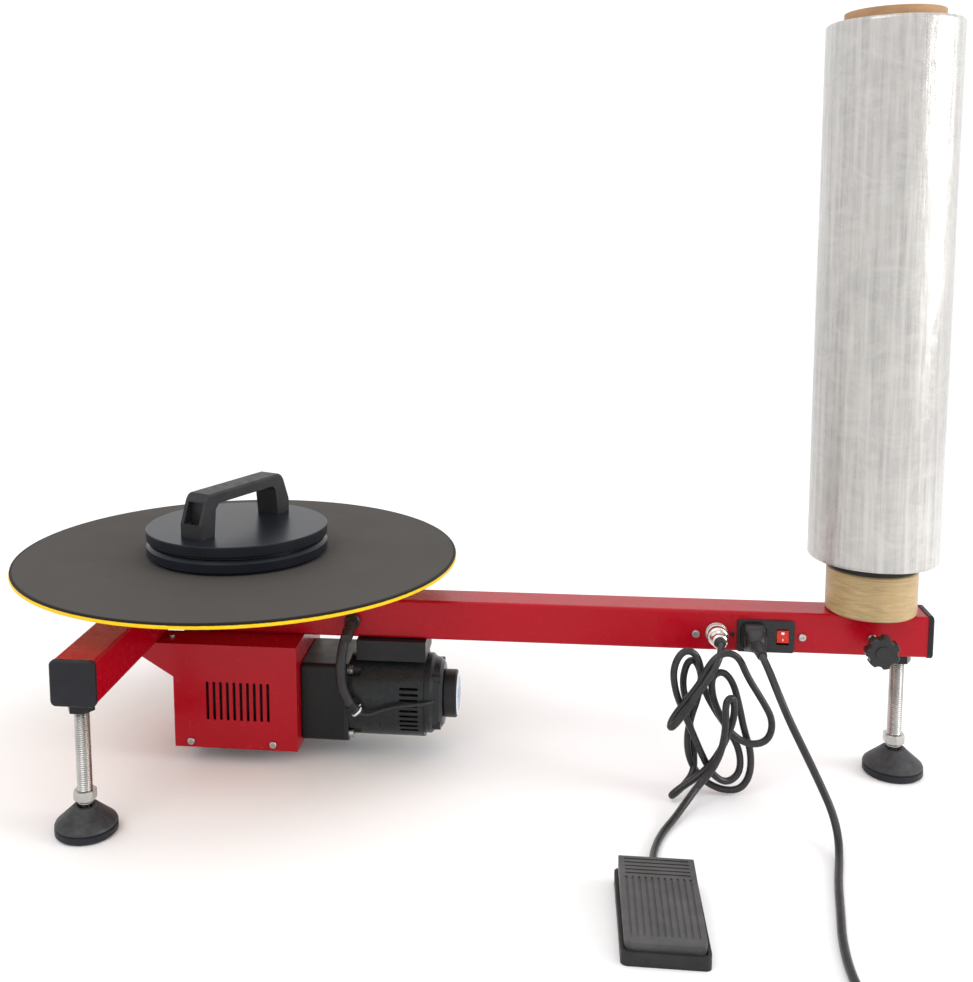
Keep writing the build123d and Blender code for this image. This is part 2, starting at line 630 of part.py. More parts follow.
slot_count = 10
slot_step = 6.9
slot_h = 40.0
slot_x = tx + 12.0
slot_z = cover_z0 + 49.5
wing_x = cx - tube_w / 2
wing_z = beam_bottom - 34.5
cover_screw_xs = (tx - 37.0, tx + 47.5)
cover_screw_z = cover_z0 + 6.5
wing_screw = (tx - 61.0, ty - 38.0)
with BuildPart() as drive_cover:
    # front sheet with its wing to the crossbar
    with BuildSketch(Plane.XZ.offset(-(ty - cover_front))):
        with BuildLine():
            Polyline(
                (wing_x, beam_bottom), (cover_x0, wing_z), (cover_x0, cover_z0),
                (gearhead_x0, cover_z0), (gearhead_x0, beam_bottom), close=True,
            )
        make_face()
    extrude(amount=-cover_t)
    # top sheet under the frame
    with BuildSketch(Plane.XY.offset(beam_bottom - cover_t)):
        with BuildLine():
            Polyline(
                (wing_x, ty - cover_front), (gearhead_x0, ty - cover_front), (gearhead_x0, ty + cover_front),
                (cover_x0, ty + cover_front), (cover_x0, ty - 20), (wing_x, ty - 20), close=True,
            )
        make_face()
    extrude(amount=cover_t)
    # left, back and right sheets
    with Locations((cover_x0 + cover_t / 2, ty, (cover_z0 + beam_bottom) / 2),
                   (gearhead_x0 - cover_t / 2, ty, (cover_z0 + beam_bottom) / 2)):
        Box(cover_t, 2 * cover_front, beam_bottom - cover_z0)
    with Locations(((cover_x0 + gearhead_x0) / 2, ty + cover_front - cover_t / 2, (cover_z0 + beam_bottom) / 2)):
        Box(gearhead_x0 - cover_x0, cover_t, beam_bottom - cover_z0)
    # folded lip round the open bottom
    with BuildSketch(Plane.XY.offset(cover_z0)):
        with Locations(((cover_x0 + gearhead_x0) / 2, ty)):
            Rectangle(gearhead_x0 - cover_x0, 2 * cover_front)
            Rectangle(gearhead_x0 - cover_x0 - 20, 2 * cover_front - 20, mode=Mode.SUBTRACT)
    extrude(amount=cover_t)
    # louvre slots front and back
    with BuildSketch(Plane.XZ.offset(-(ty - cover_front - 1))):
        with Locations((slot_x, slot_z)):
            with GridLocations(slot_step, 1, slot_count, 1):
                SlotOverall(slot_h, 3.0, rotation=90)
    extrude(amount=-2 * cover_front - 2, mode=Mode.SUBTRACT)
    # holes for the screws, the bearing tube, the gearhead boss and its bolts
    with BuildSketch(Plane.XZ.offset(-(ty - cover_front))):
        with Locations(*[(x, cover_screw_z) for x in cover_screw_xs]):
            Circle(screw_r)
    extrude(amount=-cover_t, mode=Mode.SUBTRACT)
    with BuildSketch(Plane.XY.offset(beam_bottom - cover_t)):
        with Locations(wing_screw):
            Circle(screw_r)
        with Locations((tx, ty)):
            Circle(bearing_tube_r + seat_clear)
    extrude(amount=cover_t, mode=Mode.SUBTRACT)
    with BuildSketch(Plane.YZ.offset(gearhead_x0 - cover_t)):
        with Locations((ty, shaft_z)):
            Circle(boss_r + seat_clear)
        with Locations((ty, motor_z)):
            with GridLocations(2 * bolt_pitch, 2 * bolt_pitch, 2, 2):
                Circle(bolt_r)
    extrude(amount=cover_t, mode=Mode.SUBTRACT)
save(drive_cover.part, "drive_cover")


def pan_screw(place):
    """M4 pan head screw with a cross recess; its head sits on the plane and points out of it."""
    with BuildPart() as screw:
        with BuildSketch():
            Circle(3.7)
        extrude(amount=2.4)
        fillet(screw.faces().sort_by(Axis.Z)[-1].edges(), 1.0)
        with BuildSketch():
            Circle(screw_r)
        extrude(amount=-cover_t - 3)
        with BuildSketch(Plane.XY.offset(1.2)):
            Rectangle(4.2, 0.9)
            Rectangle(0.9, 4.2)
        extrude(amount=2, mode=Mode.SUBTRACT)
    return Location(place) * screw.part


front_screws = [(x, ty - cover_front, cover_screw_z) for x in cover_screw_xs]
front_screws += [(x, beam_front, panel_screw_z) for x in panel_screw_xs]
screws = [pan_screw(Plane(origin=p, x_dir=(1, 0, 0.4), z_dir=(0, -1, 0))) for p in front_screws]
screws.append(pan_screw(Plane(origin=(wing_screw[0], wing_screw[1], beam_bottom), z_dir=(0, 0, 1))))
save(Compound(children=screws), "case_screws")

# ================================================================ fittings on the beam's front
inlet_t = 2.5
inlet_depth = 27.0
plug_bay_x = inlet_x - 11.5
plug_bay_w = 25.0
plug_bay_h = 17.0
plug_bay_depth = 15.0
rocker_x = inlet_x + 15.8
rocker_w = 11.0
rocker_h = 15.0
rocker_tilt = 11.0
with BuildPart() as inlet_module:
    with BuildSketch(Plane.XZ.offset(-beam_front)):
        with Locations((inlet_x, inlet_z)):
            RectangleRounded(inlet_w, inlet_h, 2.5)
    extrude(amount=inlet_t)
    chamfer(inlet_module.faces().sort_by(Axis.Y)[0].edges(), 0.6)
    with BuildSketch(Plane.XZ.offset(-beam_front)):
        with Locations((inlet_x, inlet_z)):
            Rectangle(inlet_body_w, inlet_body_h)
    extrude(amount=-inlet_depth)
    with BuildSketch(Plane.XZ.offset(-(beam_front - inlet_t))):
        with Locations((plug_bay_x, inlet_z)):
            RectangleRounded(plug_bay_w, plug_bay_h, 2)
        with Locations((rocker_x, inlet_z)):
            Rectangle(rocker_w + 2 * body_gap, rocker_h + 2 * body_gap)
    extrude(amount=-plug_bay_depth, mode=Mode.SUBTRACT)
save(inlet_module.part, "inlet_module")

# rocker: two faces either side of a pivot just behind the flange, at rest tipped to off
rocker_y = beam_front + 4.5
with BuildPart() as rocker:
    with BuildSketch(Plane.YZ.offset(rocker_x - rocker_w / 2)):
        with BuildLine():
            Polyline(
                (rocker_y - 7.2, inlet_z + 1), (rocker_y - 8.4, inlet_z + rocker_h / 2 - 1.6),
                (rocker_y + 2, inlet_z + rocker_h / 2 - 1.6), (rocker_y + 5, inlet_z),
                (rocker_y + 2, inlet_z - rocker_h / 2 + 1.6), (rocker_y - 8.4, inlet_z - rocker_h / 2 + 1.6),
                (rocker_y - 7.2, inlet_z - 1), close=True,
            )
        make_face()
    extrude(amount=rocker_w)
rocker_axis = Axis((rocker_x, rocker_y, inlet_z), (1, 0, 0))
save(rocker.part.rotate(rocker_axis, -rocker_tilt / 2), "rocker_switch")

front = Plane(origin=(socket_x, beam_front, socket_z), x_dir=(1, 0, 0), z_dir=(0, -1, 0))
socket_body = turned([
    (4, -14), (socket_r, -14), (socket_r, 0), (socket_r + 2.5, 0), (socket_r + 2.5, 2.5),
    (socket_r - 0.8, 2.5), (socket_r - 0.8, 9), (4, 9),
])
save(Location(front) * socket_body, "pedal_socket")

board_x = tx + 395.0
with BuildPart() as control_board:
    with Locations((board_x + 35, ty + 8, beam_top - tube_w / 2)):
        Box(70, 1.6, 30)
    for offset, size in ((12, (16, 14, 12)), (32, (14, 11, 18)), (52, (18, 9, 10))):
        with Locations((board_x + offset, ty + 7.2 - size[1] / 2, beam_top - tube_w / 2)):
            Box(*size)
    for offset in (5, 65):
        with BuildSketch(Plane.XZ.offset(-(ty + 8.8))):
            with Locations((board_x + offset, beam_top - tube_w / 2)):
                Circle(2.5)
        extrude(amount=-(tube_w / 2 - tube_wall - 8.8))
save(control_board.part, "control_board")

# ================================================================ turntable
hub_r = 55.0
hub_t = 6.0
hub_screw_pcd = 84.0
hub_screw_r = 2.5
collar_r = 14.0
hub_screw_depth = board_t - 0.8
with BuildPart() as spindle:
    spindle_z0 = shaft_z + pinion_pitch_r - 2
    with BuildSketch(Plane.XY.offset(spindle_z0)):
        with Locations((tx, ty)):
            Circle(spindle_r)
    extrude(amount=board_z - spindle_z0)
    with BuildSketch(Plane.XY.offset(tube_hi + body_gap)):
        with Locations((tx, ty)):
            Circle(collar_r)
    extrude(amount=board_z - tube_hi - body_gap)
    with BuildSketch(Plane.XY.offset(board_z - hub_t)):
        with Locations((tx, ty)):
            Circle(hub_r)
    extrude(amount=hub_t)
    with BuildSketch(Plane.XY.offset(board_z - hub_t)):
        with Locations((tx, ty)):
            with PolarLocations(hub_screw_pcd / 2, 4, start_angle=45):
                Circle(hub_screw_r)
    extrude(amount=hub_t, mode=Mode.SUBTRACT)
save(spindle.part, "spindle")

with BuildPart() as turntable_board:
    with BuildSketch(Plane.XY.offset(board_z)):
        with Locations((tx, ty)):
            Circle(table_d / 2)
    extrude(amount=board_t)
    fillet(turntable_board.edges().filter_by(GeomType.CIRCLE), 1.2)
    with BuildSketch(Plane.XY.offset(board_z)):
        with Locations((tx, ty)):
            with PolarLocations(hub_screw_pcd / 2, 4, start_angle=45):
                Circle(hub_screw_r)
    extrude(amount=hub_screw_depth, mode=Mode.SUBTRACT)
save(turntable_board.part, "turntable_board")

with BuildPart() as turntable_mat:
    with BuildSketch(Plane.XY.offset(board_z + board_t)):
        with Locations((tx, ty)):
            Circle(table_d / 2 - mat_inset)
    extrude(amount=mat_t)
    fillet(turntable_mat.edges().filter_by(GeomType.CIRCLE).sort_by(Axis.Z)[-1], 0.8)
    # the hold-down plate rests in a shallow locating recess
    with BuildSketch(Plane.XY.offset(board_z + board_t + mat_t - mat_recess)):
        with Locations((tx, ty)):
            Circle(mat_recess_r)
    extrude(amount=mat_recess, mode=Mode.SUBTRACT)
save(turntable_mat.part, "turntable_mat")

hub_screw = turned([(0, -3.2), (3.6, -3.2), (4.6, -2), (4.6, 0), (hub_screw_r, 0),
                    (hub_screw_r, hub_t + hub_screw_depth), (0, hub_t + hub_screw_depth)])
hub_screws = [
    spin(tx + hub_screw_pcd / 2 * math.cos(math.radians(a)), ty + hub_screw_pcd / 2 * math.sin(math.radians(a)),
         board_z - hub_t, hub_screw)
    for a in (45, 135, 225, 315)
]
save(Compound(children=hub_screws), "hub_screws")

# ================================================================ hold-down plate
press_r = 92.5
press_lower_t = 14.2
press_gap = 2.9
press_upper_t = 11.3
press_bearing_r = 17.0
press_pin_r = 10.0
press_bearing_h = 8.0
press_z0 = mat_top + body_gap
press_z1 = press_z0 + press_lower_t
press_z2 = press_z1 + press_gap
press_top = press_z2 + press_upper_t
bearing_seat_z = press_z2 - body_gap - press_bearing_h
save(
    spin(tx, ty, 0, turned([
        (0, press_z0 + 2), (press_r - 14, press_z0 + 2), (press_r - 15, press_z0), (press_r - 3, press_z0),
        (press_r, press_z0 + 3), (press_r, press_z1 - 3), (press_r - 3, press_z1), (press_bearing_r, press_z1),
        (press_bearing_r, bearing_seat_z), (0, bearing_seat_z),
    ])),
    "press_lower_disc",
)
save(
    spin(tx, ty, bearing_seat_z, turned([
        (press_pin_r + run_clear, 0), (press_bearing_r - 0.5, 0), (press_bearing_r, 0.5),
        (press_bearing_r, press_bearing_h - 0.5), (press_bearing_r - 0.5, press_bearing_h),
        (press_pin_r + run_clear, press_bearing_h),
    ])),
    "press_bearing",
)
save(
    spin(tx, ty, 0, turned([
        (0, bearing_seat_z + body_gap), (press_pin_r, bearing_seat_z + body_gap), (press_pin_r, press_z2),
        (press_r - 1.5, press_z2), (press_r, press_z2 + 1.5), (press_r, press_top - 0.8),
        (press_r - 0.8, press_top), (0, press_top),
    ])),
    "press_upper_disc",
)

handle_half = 70.0
handle_w = 27.0
handle_h = 43.0
handle_leg = 19.0
handle_bar = 11.0
handle_turn = -24.0               # about Z, from lying along +Y
pocket_z = 14.0
slope = 9.0
handle_plane = Plane(origin=(tx, ty, press_top), x_dir=(0, 1, 0), z_dir=(1, 0, 0))
with BuildPart() as press_handle:
    with BuildSketch(handle_plane):
        with BuildLine():
            Polyline(
                (-handle_half, 0), (-handle_half, pocket_z), (-handle_half + slope, handle_h - 6),
                (-handle_half + slope + 5, handle_h), (handle_half - slope - 5, handle_h),
                (handle_half - slope, handle_h - 6), (handle_half, pocket_z), (handle_half, 0),
                (handle_half - handle_leg, 0), (handle_half - handle_leg - 3, handle_h - handle_bar - 5),
                (handle_half - handle_leg - 8, handle_h - handle_bar),
                (-handle_half + handle_leg + 8, handle_h - handle_bar),
                (-handle_half + handle_leg + 3, handle_h - handle_bar - 5), (-handle_half + handle_leg, 0),
                close=True,
            )
        make_face()
    extrude(amount=handle_w / 2, both=True)
    bar_edges = press_handle.edges().filter_by(Axis.Y).group_by(Axis.Z)[-1]
    chamfer(bar_edges, 2.0)
# screw pockets in both ends, with a round well down to the foot
pocket_w = handle_w - 8.0
for end in (-1, 1):
    pocket_ys = sorted((ty + end * (handle_half - 13), ty + end * (handle_half + 1)))
    wall = block(tx - pocket_w / 2, tx + pocket_w / 2, *pocket_ys, press_top + pocket_z, press_top + handle_h - 8)
    well = Pos(tx, ty + end * (handle_half - 7), press_top + 5) * Cylinder(
        5, 12, align=(Align.CENTER, Align.CENTER, Align.MIN))
    hole = Pos(tx, ty + end * (handle_half - 7), press_top - 1) * Cylinder(
        2.6, 10, align=(Align.CENTER, Align.CENTER, Align.MIN))
    press_handle.part = press_handle.part - wall - well - hole
save(press_handle.part.rotate(Axis((tx, ty, 0), (0, 0, 1)), handle_turn), "press_handle")

# ================================================================ film post and film roll
ring_h = 6.0
core_z0 = 214.5
ring_z0 = core_z0 - body_gap - ring_h
collar_z0 = beam_top + body_gap
wood_r = 42.0
post_z0 = beam_bottom + tube_wall + body_gap
core_r = core_bore / 2 + core_wall
core_len = core_under + film_width + core_over
core_top = core_z0 + core_len
post_top = core_top - 25.0
hub_len = 30.0
post_wall = 2.0
save(
    spin(rx, ty, 0, turned([
        (post_r - post_wall, post_z0), (post_r, post_z0), (post_r, post_top - 1.5), (post_r - 1.5, post_top),
        (0, post_top), (0, post_top - post_wall), (post_r - post_wall, post_top - post_wall),
    ])),
    "mandrel_post",
)
save(
    spin(rx, ty, 0, turned([
        (post_r, collar_z0), (wood_r - 1.5, collar_z0), (wood_r, collar_z0 + 1.5), (wood_r, ring_z0 - 1.5),
        (wood_r - 1.5, ring_z0), (post_r, ring_z0),
    ])),
    "wood_collar",
)
save(
    spin(rx, ty, 0, turned([
        (post_r, ring_z0), (wood_r - 0.5, ring_z0), (wood_r + 1, ring_z0 + 1.5),
        (wood_r + 1, ring_z0 + ring_h - 1.5), (wood_r - 0.5, ring_z0 + ring_h), (post_r, ring_z0 + ring_h),
    ])),
    "thrust_ring",
)
with BuildPart() as film_core:
    with BuildSketch(Plane.XY.offset(core_z0)):
        with Locations((rx, ty)):
            Circle(core_r)
            Circle(core_bore / 2, mode=Mode.SUBTRACT)
    extrude(amount=core_len)
save(film_core.part, "film_core")
with BuildPart() as film_roll:
    with BuildSketch(Plane.XY.offset(core_z0 + core_under)):
        with Locations((rx, ty)):
            Circle(film_d / 2)
            Circle(core_r, mode=Mode.SUBTRACT)
    extrude(amount=film_width)
    fillet(film_roll.edges().filter_by(GeomType.CIRCLE).sort_by(SortBy.RADIUS)[-2:], 1.5)
save(film_roll.part, "film_roll")


def core_hub(z):
    """Plastic hub that centres the core on the post: rim, web and sleeve."""
    sleeve = post_r + 2 * run_clear
    return spin(rx, ty, z, turned([
        (sleeve, 0), (sleeve + 4, 0), (sleeve + 4, 12), (core_bore / 2 - 4, 12), (core_bore / 2 - 4, 0),
        (core_bore / 2, 0), (core_bore / 2, hub_len), (core_bore / 2 - 4, hub_len),
        (core_bore / 2 - 4, 18), (sleeve + 4, 18), (sleeve + 4, hub_len), (sleeve, hub_len),
    ]))


save(Compound(children=[core_hub(core_z0), core_hub(core_top - 65)]), "core_hubs")

knob_r = 15.5
knob_lobes = 7
knob_len = 16.0
clamp_tip = post_r + body_gap
clamp_reach = tube_w / 2 + 30.0
clamp_place = Location(Plane(origin=(rx - 2, ty, clamp_z), x_dir=(1, 0, 0), z_dir=(0, -1, 0)))
clamp_screw = turned([
    (0, clamp_tip), (clamp_r - 1, clamp_tip), (clamp_r, clamp_tip + 1), (clamp_r, clamp_reach + 10),
    (0, clamp_reach + 10),
])
save(clamp_place * clamp_screw, "clamp_screw")
with BuildPart() as star_knob:
    with BuildSketch(Plane.XY.offset(clamp_reach)):
        Circle(knob_r)
        with PolarLocations(knob_r + 2.2, knob_lobes):
            Circle(4.6, mode=Mode.SUBTRACT)
    extrude(amount=knob_len - 5)
    fillet(star_knob.edges().group_by(Axis.Z)[-1], 1.5)
    with BuildSketch(Plane.XY.offset(clamp_reach - 5)):
        Circle(7)
    extrude(amount=knob_len + 1)
    with BuildSketch(Plane.XY.offset(clamp_reach - 5)):
        Circle(clamp_r + run_clear)
    extrude(amount=15 + body_gap, mode=Mode.SUBTRACT)
save(clamp_place * star_knob.part, "star_knob")

# ================================================================ foot pedal
px = tx + 410.0
py0 = ty - pedal_reach            # near edge
py1 = py0 + pedal_len
pedal_wall = 2.5
pedal_side = 11.0
treadle_w = pedal_w - 2 * pedal_wall - 2 * body_gap
treadle_y0 = py0 + pedal_wall + body_gap
treadle_y1 = py1 - pedal_wall - 1.0
treadle_front = 18.0
treadle_back = 27.0
treadle_skirt = 9.5
treadle_t = 3.0
pin_r = 2.0
pin_y = py1 - 12.0
pin_z = 14.0
treadle_travel = 3.5
treadle_corner = 7.0
with BuildPart() as pedal_base:
    with BuildSketch(Plane.XY):
        with Locations((px, (py0 + py1) / 2)):
            RectangleRounded(pedal_w, pedal_len, 5)
    extrude(amount=pedal_side)
    with BuildSketch(Plane.XY.offset(pedal_wall)):
        with Locations((px, (py0 + py1) / 2)):
            RectangleRounded(pedal_w - 2 * pedal_wall, pedal_len - 2 * pedal_wall, 3)
    extrude(amount=pedal_side, mode=Mode.SUBTRACT)
    # ears that carry the hinge pin, beside the treadle's middle web
    for side in (-1, 1):
        with BuildSketch(Plane.YZ.offset(px + side * 14 - 1.5)):
            with Locations((pin_y, pin_z / 2 + 1)):
                Rectangle(9, pin_z - 2)
            with Locations((pin_y, pin_z)):
                Circle(4.5)
        extrude(amount=3)
    with BuildSketch(Plane.YZ.offset(px - 20)):
        with Locations((pin_y, pin_z)):
            Circle(pin_r + run_clear)
    extrude(amount=40, mode=Mode.SUBTRACT)
    # cord hole in the back wall
    with BuildSketch(Plane.XZ.offset(-(py1 - pedal_wall - 1))):
        with Locations((px, 6.2)):
            Circle(3.3)
    extrude(amount=-pedal_wall - 2, mode=Mode.SUBTRACT)
save(pedal_base.part, "pedal_base")

rib_count = 11
rib_step = 5.0
rib_y0 = treadle_y0 + 6
rib_len = 70.0
cross_count = 6
cross_step = 4.6
with BuildPart() as pedal_treadle:
    with BuildSketch(Plane.YZ.offset(px - treadle_w / 2)):
        with BuildLine():
            Polyline(
                (treadle_y0, treadle_skirt), (treadle_y0, treadle_front - 1), (treadle_y0 + 1, treadle_front),
                (treadle_y1 - 5, treadle_back), (treadle_y1, treadle_back - 3), (treadle_y1, treadle_skirt + 2.5),
                close=True,
            )
        make_face()
    extrude(amount=treadle_w)
    with BuildSketch(Plane.XY):
        with Locations((px, (treadle_y0 + treadle_y1) / 2)):
            RectangleRounded(treadle_w, treadle_y1 - treadle_y0, treadle_corner)
    extrude(amount=treadle_back + 1, mode=Mode.INTERSECT)
    with BuildSketch(Plane.YZ.offset(px - treadle_w / 2 + treadle_t)):
        with BuildLine():
            Polyline(
                (treadle_y0 + treadle_t, 0), (treadle_y0 + treadle_t, treadle_front - treadle_t),
                (treadle_y1 - treadle_t, treadle_back - treadle_t - 3), (treadle_y1 - treadle_t, 0), close=True,
            )
        make_face()
    extrude(amount=treadle_w - 2 * treadle_t, mode=Mode.SUBTRACT)
    # middle web with the pin's bore
    with BuildSketch(Plane.YZ.offset(px - 11)):
        with Locations((pin_y, pin_z)):
            Circle(4.5)
        with Locations((pin_y, pin_z + 4)):
            Rectangle(9, 8)
    extrude(amount=22)
    with BuildSketch(Plane.YZ.offset(px - 20)):
        with Locations((pin_y, pin_z)):
            Circle(pin_r)
    extrude(amount=40, mode=Mode.SUBTRACT)
tread_angle = math.degrees(math.atan2(treadle_back - treadle_front, treadle_y1 - 6 - treadle_y0))
tread_plane = Plane(origin=(px, treadle_y0 + 1, treadle_front)).rotated((tread_angle, 0, 0))
with BuildPart() as tread_grooves:
    with BuildSketch(tread_plane.offset(-0.9)):
        with Locations((0, 6 + rib_len / 2)):
            with GridLocations(rib_step, 1, rib_count, 1):
                SlotOverall(rib_len, 1.8, rotation=90)
        with Locations((0, 6 + rib_len + 4 + cross_step * (cross_count - 1) / 2)):
            with GridLocations(1, cross_step, 1, cross_count):
                SlotOverall(treadle_w - 9, 1.8)
    extrude(amount=3)
save(pedal_treadle.part - tread_grooves.part, "pedal_treadle")

save(rod(pin_r, 34, (px - 17, pin_y, pin_z), (1, 0, 0)), "pedal_pin")

spring_r = 4.5
spring_wire = 1.2
spring_y = py0 + 24.0
spring_z0 = pedal_wall + spring_wire / 2
spring_h = 12.2
spring_turns = 4
with BuildPart() as pedal_spring:
    with BuildLine():
        coil = Helix(spring_h / spring_turns, spring_h, spring_r)
    with BuildSketch(Plane(origin=coil @ 0, z_dir=coil % 0)):
        Circle(spring_wire / 2)
    sweep(is_frenet=True)
save(spin(px, spring_y, spring_z0, pedal_spring.part), "pedal_spring")

with BuildPart() as pedal_switch:
    with BuildSketch(Plane.XY.offset(pedal_wall)):
        with Locations((px, py0 + 52)):
            Rectangle(20, 9)
    extrude(amount=11)
    with BuildSketch(Plane.XY.offset(pedal_wall + 11)):
        with Locations((px + 4, py0 + 52)):
            Circle(1.5)
    extrude(amount=0.8)
save(pedal_switch.part, "pedal_switch")

# ================================================================ leads held by the machine
print("radii, mm")


def held_tube(points, diameter, name):
    """A round tube along straight runs joined by arcs as large as the runs allow."""
    runs = [Vector(*b) - Vector(*a) for a, b in zip(points, points[1:])]
    radii = []
    for before, after in zip(runs, runs[1:]):
        half_turn = math.radians(before.get_angle(after)) / 2
        radii.append(0.45 * min(before.length, after.length) / math.tan(half_turn))
    print(name, [round(r) for r in radii])
    with BuildPart() as tube:
        with BuildLine() as path:
            FilletPolyline(*points, radius=radii)
        with BuildSketch(Plane(origin=points[0], z_dir=runs[0])):
            Circle(diameter / 2)
        sweep()
    length = sum(edge.length for edge in path.edges())
    expected = math.pi * diameter ** 2 / 4 * length
    print(name, "length", round(length), "volume ratio", round(tube.part.volume / expected, 4))
    return tube.part


conduit_d = 10.0
conduit_points = [
    (conduit_x, beam_front - 8, conduit_z), (conduit_x - 1, beam_front - 17, conduit_z - 1),
    (conduit_x - 4, beam_front - 27, conduit_z - 12), (conduit_x - 7, beam_front - 32, conduit_z - 32),
    (conduit_x - 6, beam_front - 34, conduit_z - 56), (conduit_x + 1, beam_front - 32, conduit_z - 74),
    (conduit_x + 10, beam_front - 29.5, conduit_z - 85),
]
conduit = held_tube(conduit_points, conduit_d, "cable_conduit")
gland = Plane(origin=(conduit_x, beam_front, conduit_z), x_dir=(1, 0, 0), z_dir=(0, -1, 0))
conduit_gland = Location(gland) * turned([
    (0, -tube_wall - 3), (conduit_r + 1.5, -tube_wall - 3), (conduit_r + 1.5, 0), (8, 0), (8, 2.5),
    (6.5, 4), (6.2, 8), (0, 8),
])
save(conduit + conduit_gland, "cable_conduit")

lead_d = 3.4
lead_start = conduit_points[-1]
lead_points = [
    lead_start, (lead_start[0] + 10, lead_start[1] + 1.6, lead_start[2] - 1.5),
    (tx + 165, ty - motor_half - 5, motor_z + 2), (tx + 188, ty - motor_half - 5, motor_z + 5),
    (motor_x1 + 4, ty - motor_half - 2.5, motor_z + 6), (motor_x1 + 9.5, ty - bell_r + 4.5, motor_z + 5),
]
save(held_tube(lead_points, lead_d, "motor_lead"), "motor_lead")

# ================================================================ pedal cord
plug_r = 9.6
plug_reach = 36.0
pedal_cord_d = 6.6
pedal_plug = turned([
    (socket_r - 0.8, 3), (plug_r, 3), (plug_r, 6), (plug_r - 0.8, 6.6), (plug_r - 0.8, 8), (plug_r, 8.6),
    (plug_r, 15), (plug_r - 1.2, 16), (plug_r - 1.2, 20), (plug_r - 2.6, 22), (plug_r - 2.6, 29),
    (5, 31), (4.2, plug_reach), (0, plug_reach), (0, 9.5), (socket_r - 0.8, 9.5),
])
save(Location(front) * pedal_plug, "pedal_plug")

# the hank hangs from the plug and rests its lower folds on the floor
hank_w = 90.0
hank_z0 = 0.5
hank_h = socket_z + 6.0 - hank_z0
hank_t = 34.0
hank_x = socket_x
hank_y = beam_front - plug_reach - hank_t / 2
with BuildPart() as pedal_cord_hank:
    with BuildSketch(Plane.XZ.offset(-(hank_y - hank_t / 2))):
        with Locations((hank_x, hank_z0 + hank_h / 2)):
            Ellipse(hank_w / 2, hank_h / 2)
    extrude(amount=-hank_t)
    fillet(pedal_cord_hank.edges().filter_by(GeomType.ELLIPSE), 6)
save(pedal_cord_hank.part, "pedal_cord_hank")

pedal_tail_points = [
    (tx + 459, hank_y - hank_t / 2 + 3, 24), (tx + 447, ty - 108, 11), (tx + 435, ty - 128, 5.2),
    (tx + 422, ty - 152, 3.6), (tx + 413, ty - 181, 3.8), (px, ty - 205, 5.2), (px, py1, 6.2),
]
save(held_tube(pedal_tail_points, pedal_cord_d, "pedal_cord_tail"), "pedal_cord_tail")

# ================================================================ mains cord
mains_d = 7.0
inlet_plug_body = 27.0
inlet_plug_reach = 55.0
with BuildPart() as inlet_plug:
    with BuildSketch(Plane.XZ.offset(-(beam_front - inlet_t))):
        with Locations((plug_bay_x, inlet_z)):
            RectangleRounded(plug_bay_w - 2 * seat_clear - 0.6, plug_bay_h - 2 * seat_clear - 0.6, 1.8)
    extrude(amount=-12)
    with BuildSketch(Plane.XZ.offset(-(beam_front - inlet_t))):
        with Locations((plug_bay_x, inlet_z)):
            RectangleRounded(20, 26, 3)
    extrude(amount=8)
    with BuildSketch(Plane.XZ.offset(-(beam_front - inlet_t - 8))) as plug_back:
        with Locations((plug_bay_x, inlet_z)):
            RectangleRounded(20, 26, 3)
    with BuildSketch(Plane.XZ.offset(-(beam_front - inlet_plug_body))) as plug_neck:
        with Locations((plug_bay_x, inlet_z - 1)):
            RectangleRounded(12.5, 13.5, 5)
    loft([plug_back.sketch, plug_neck.sketch])
    with BuildSketch(Plane.XZ.offset(-(beam_front - inlet_plug_body))):
        with Locations((plug_bay_x, inlet_z - 1)):
            Circle(6.2)
    extrude(amount=inlet_plug_reach - inlet_plug_body, taper=4)
save(inlet_plug.part, "inlet_plug")

mains_floor = mains_d / 2 + 0.1
coil_mean = 5.5 * mains_d
coil_w = 3 * mains_d
coil_h = 2 * mains_d + 1
coil_x = tx + 537.0 - coil_mean
coil_y = ty - 418.0
mains_points = [
    (plug_bay_x, beam_front - inlet_plug_reach, inlet_z - 1),
    (plug_bay_x + 2, beam_front - inlet_plug_reach - 20, inlet_z - 4.5),
    (tx + 524, ty - 113, inlet_z - 18), (tx + 534, ty - 122, inlet_z - 42), (tx + 548, ty - 124, 71),
    (tx + 561, ty - 127, 44), (tx + 570, ty - 136, 24), (tx + 572, ty - 153, 10),
    (tx + 567, ty - 180, 3.7), (tx + 558, ty - 217, mains_floor), (tx + 551, ty - 256, mains_floor),
    (tx + 543, ty - 298, mains_floor), (tx + 540, ty - 339, mains_floor), (tx + 544, ty - 380, mains_floor),
    (coil_x + coil_mean + 6.5, coil_y, mains_floor),
]
save(held_tube(mains_points, mains_d, "mains_cord"), "mains_cord")

with BuildPart() as mains_coil:
    with BuildSketch(Plane.XY):
        with Locations((coil_x, coil_y)):
            Circle(coil_mean + coil_w / 2)
            Circle(coil_mean - coil_w / 2, mode=Mode.SUBTRACT)
    extrude(amount=coil_h)
    fillet(mains_coil.edges().filter_by(GeomType.CIRCLE), 3)
save(mains_coil.part, "mains_coil")

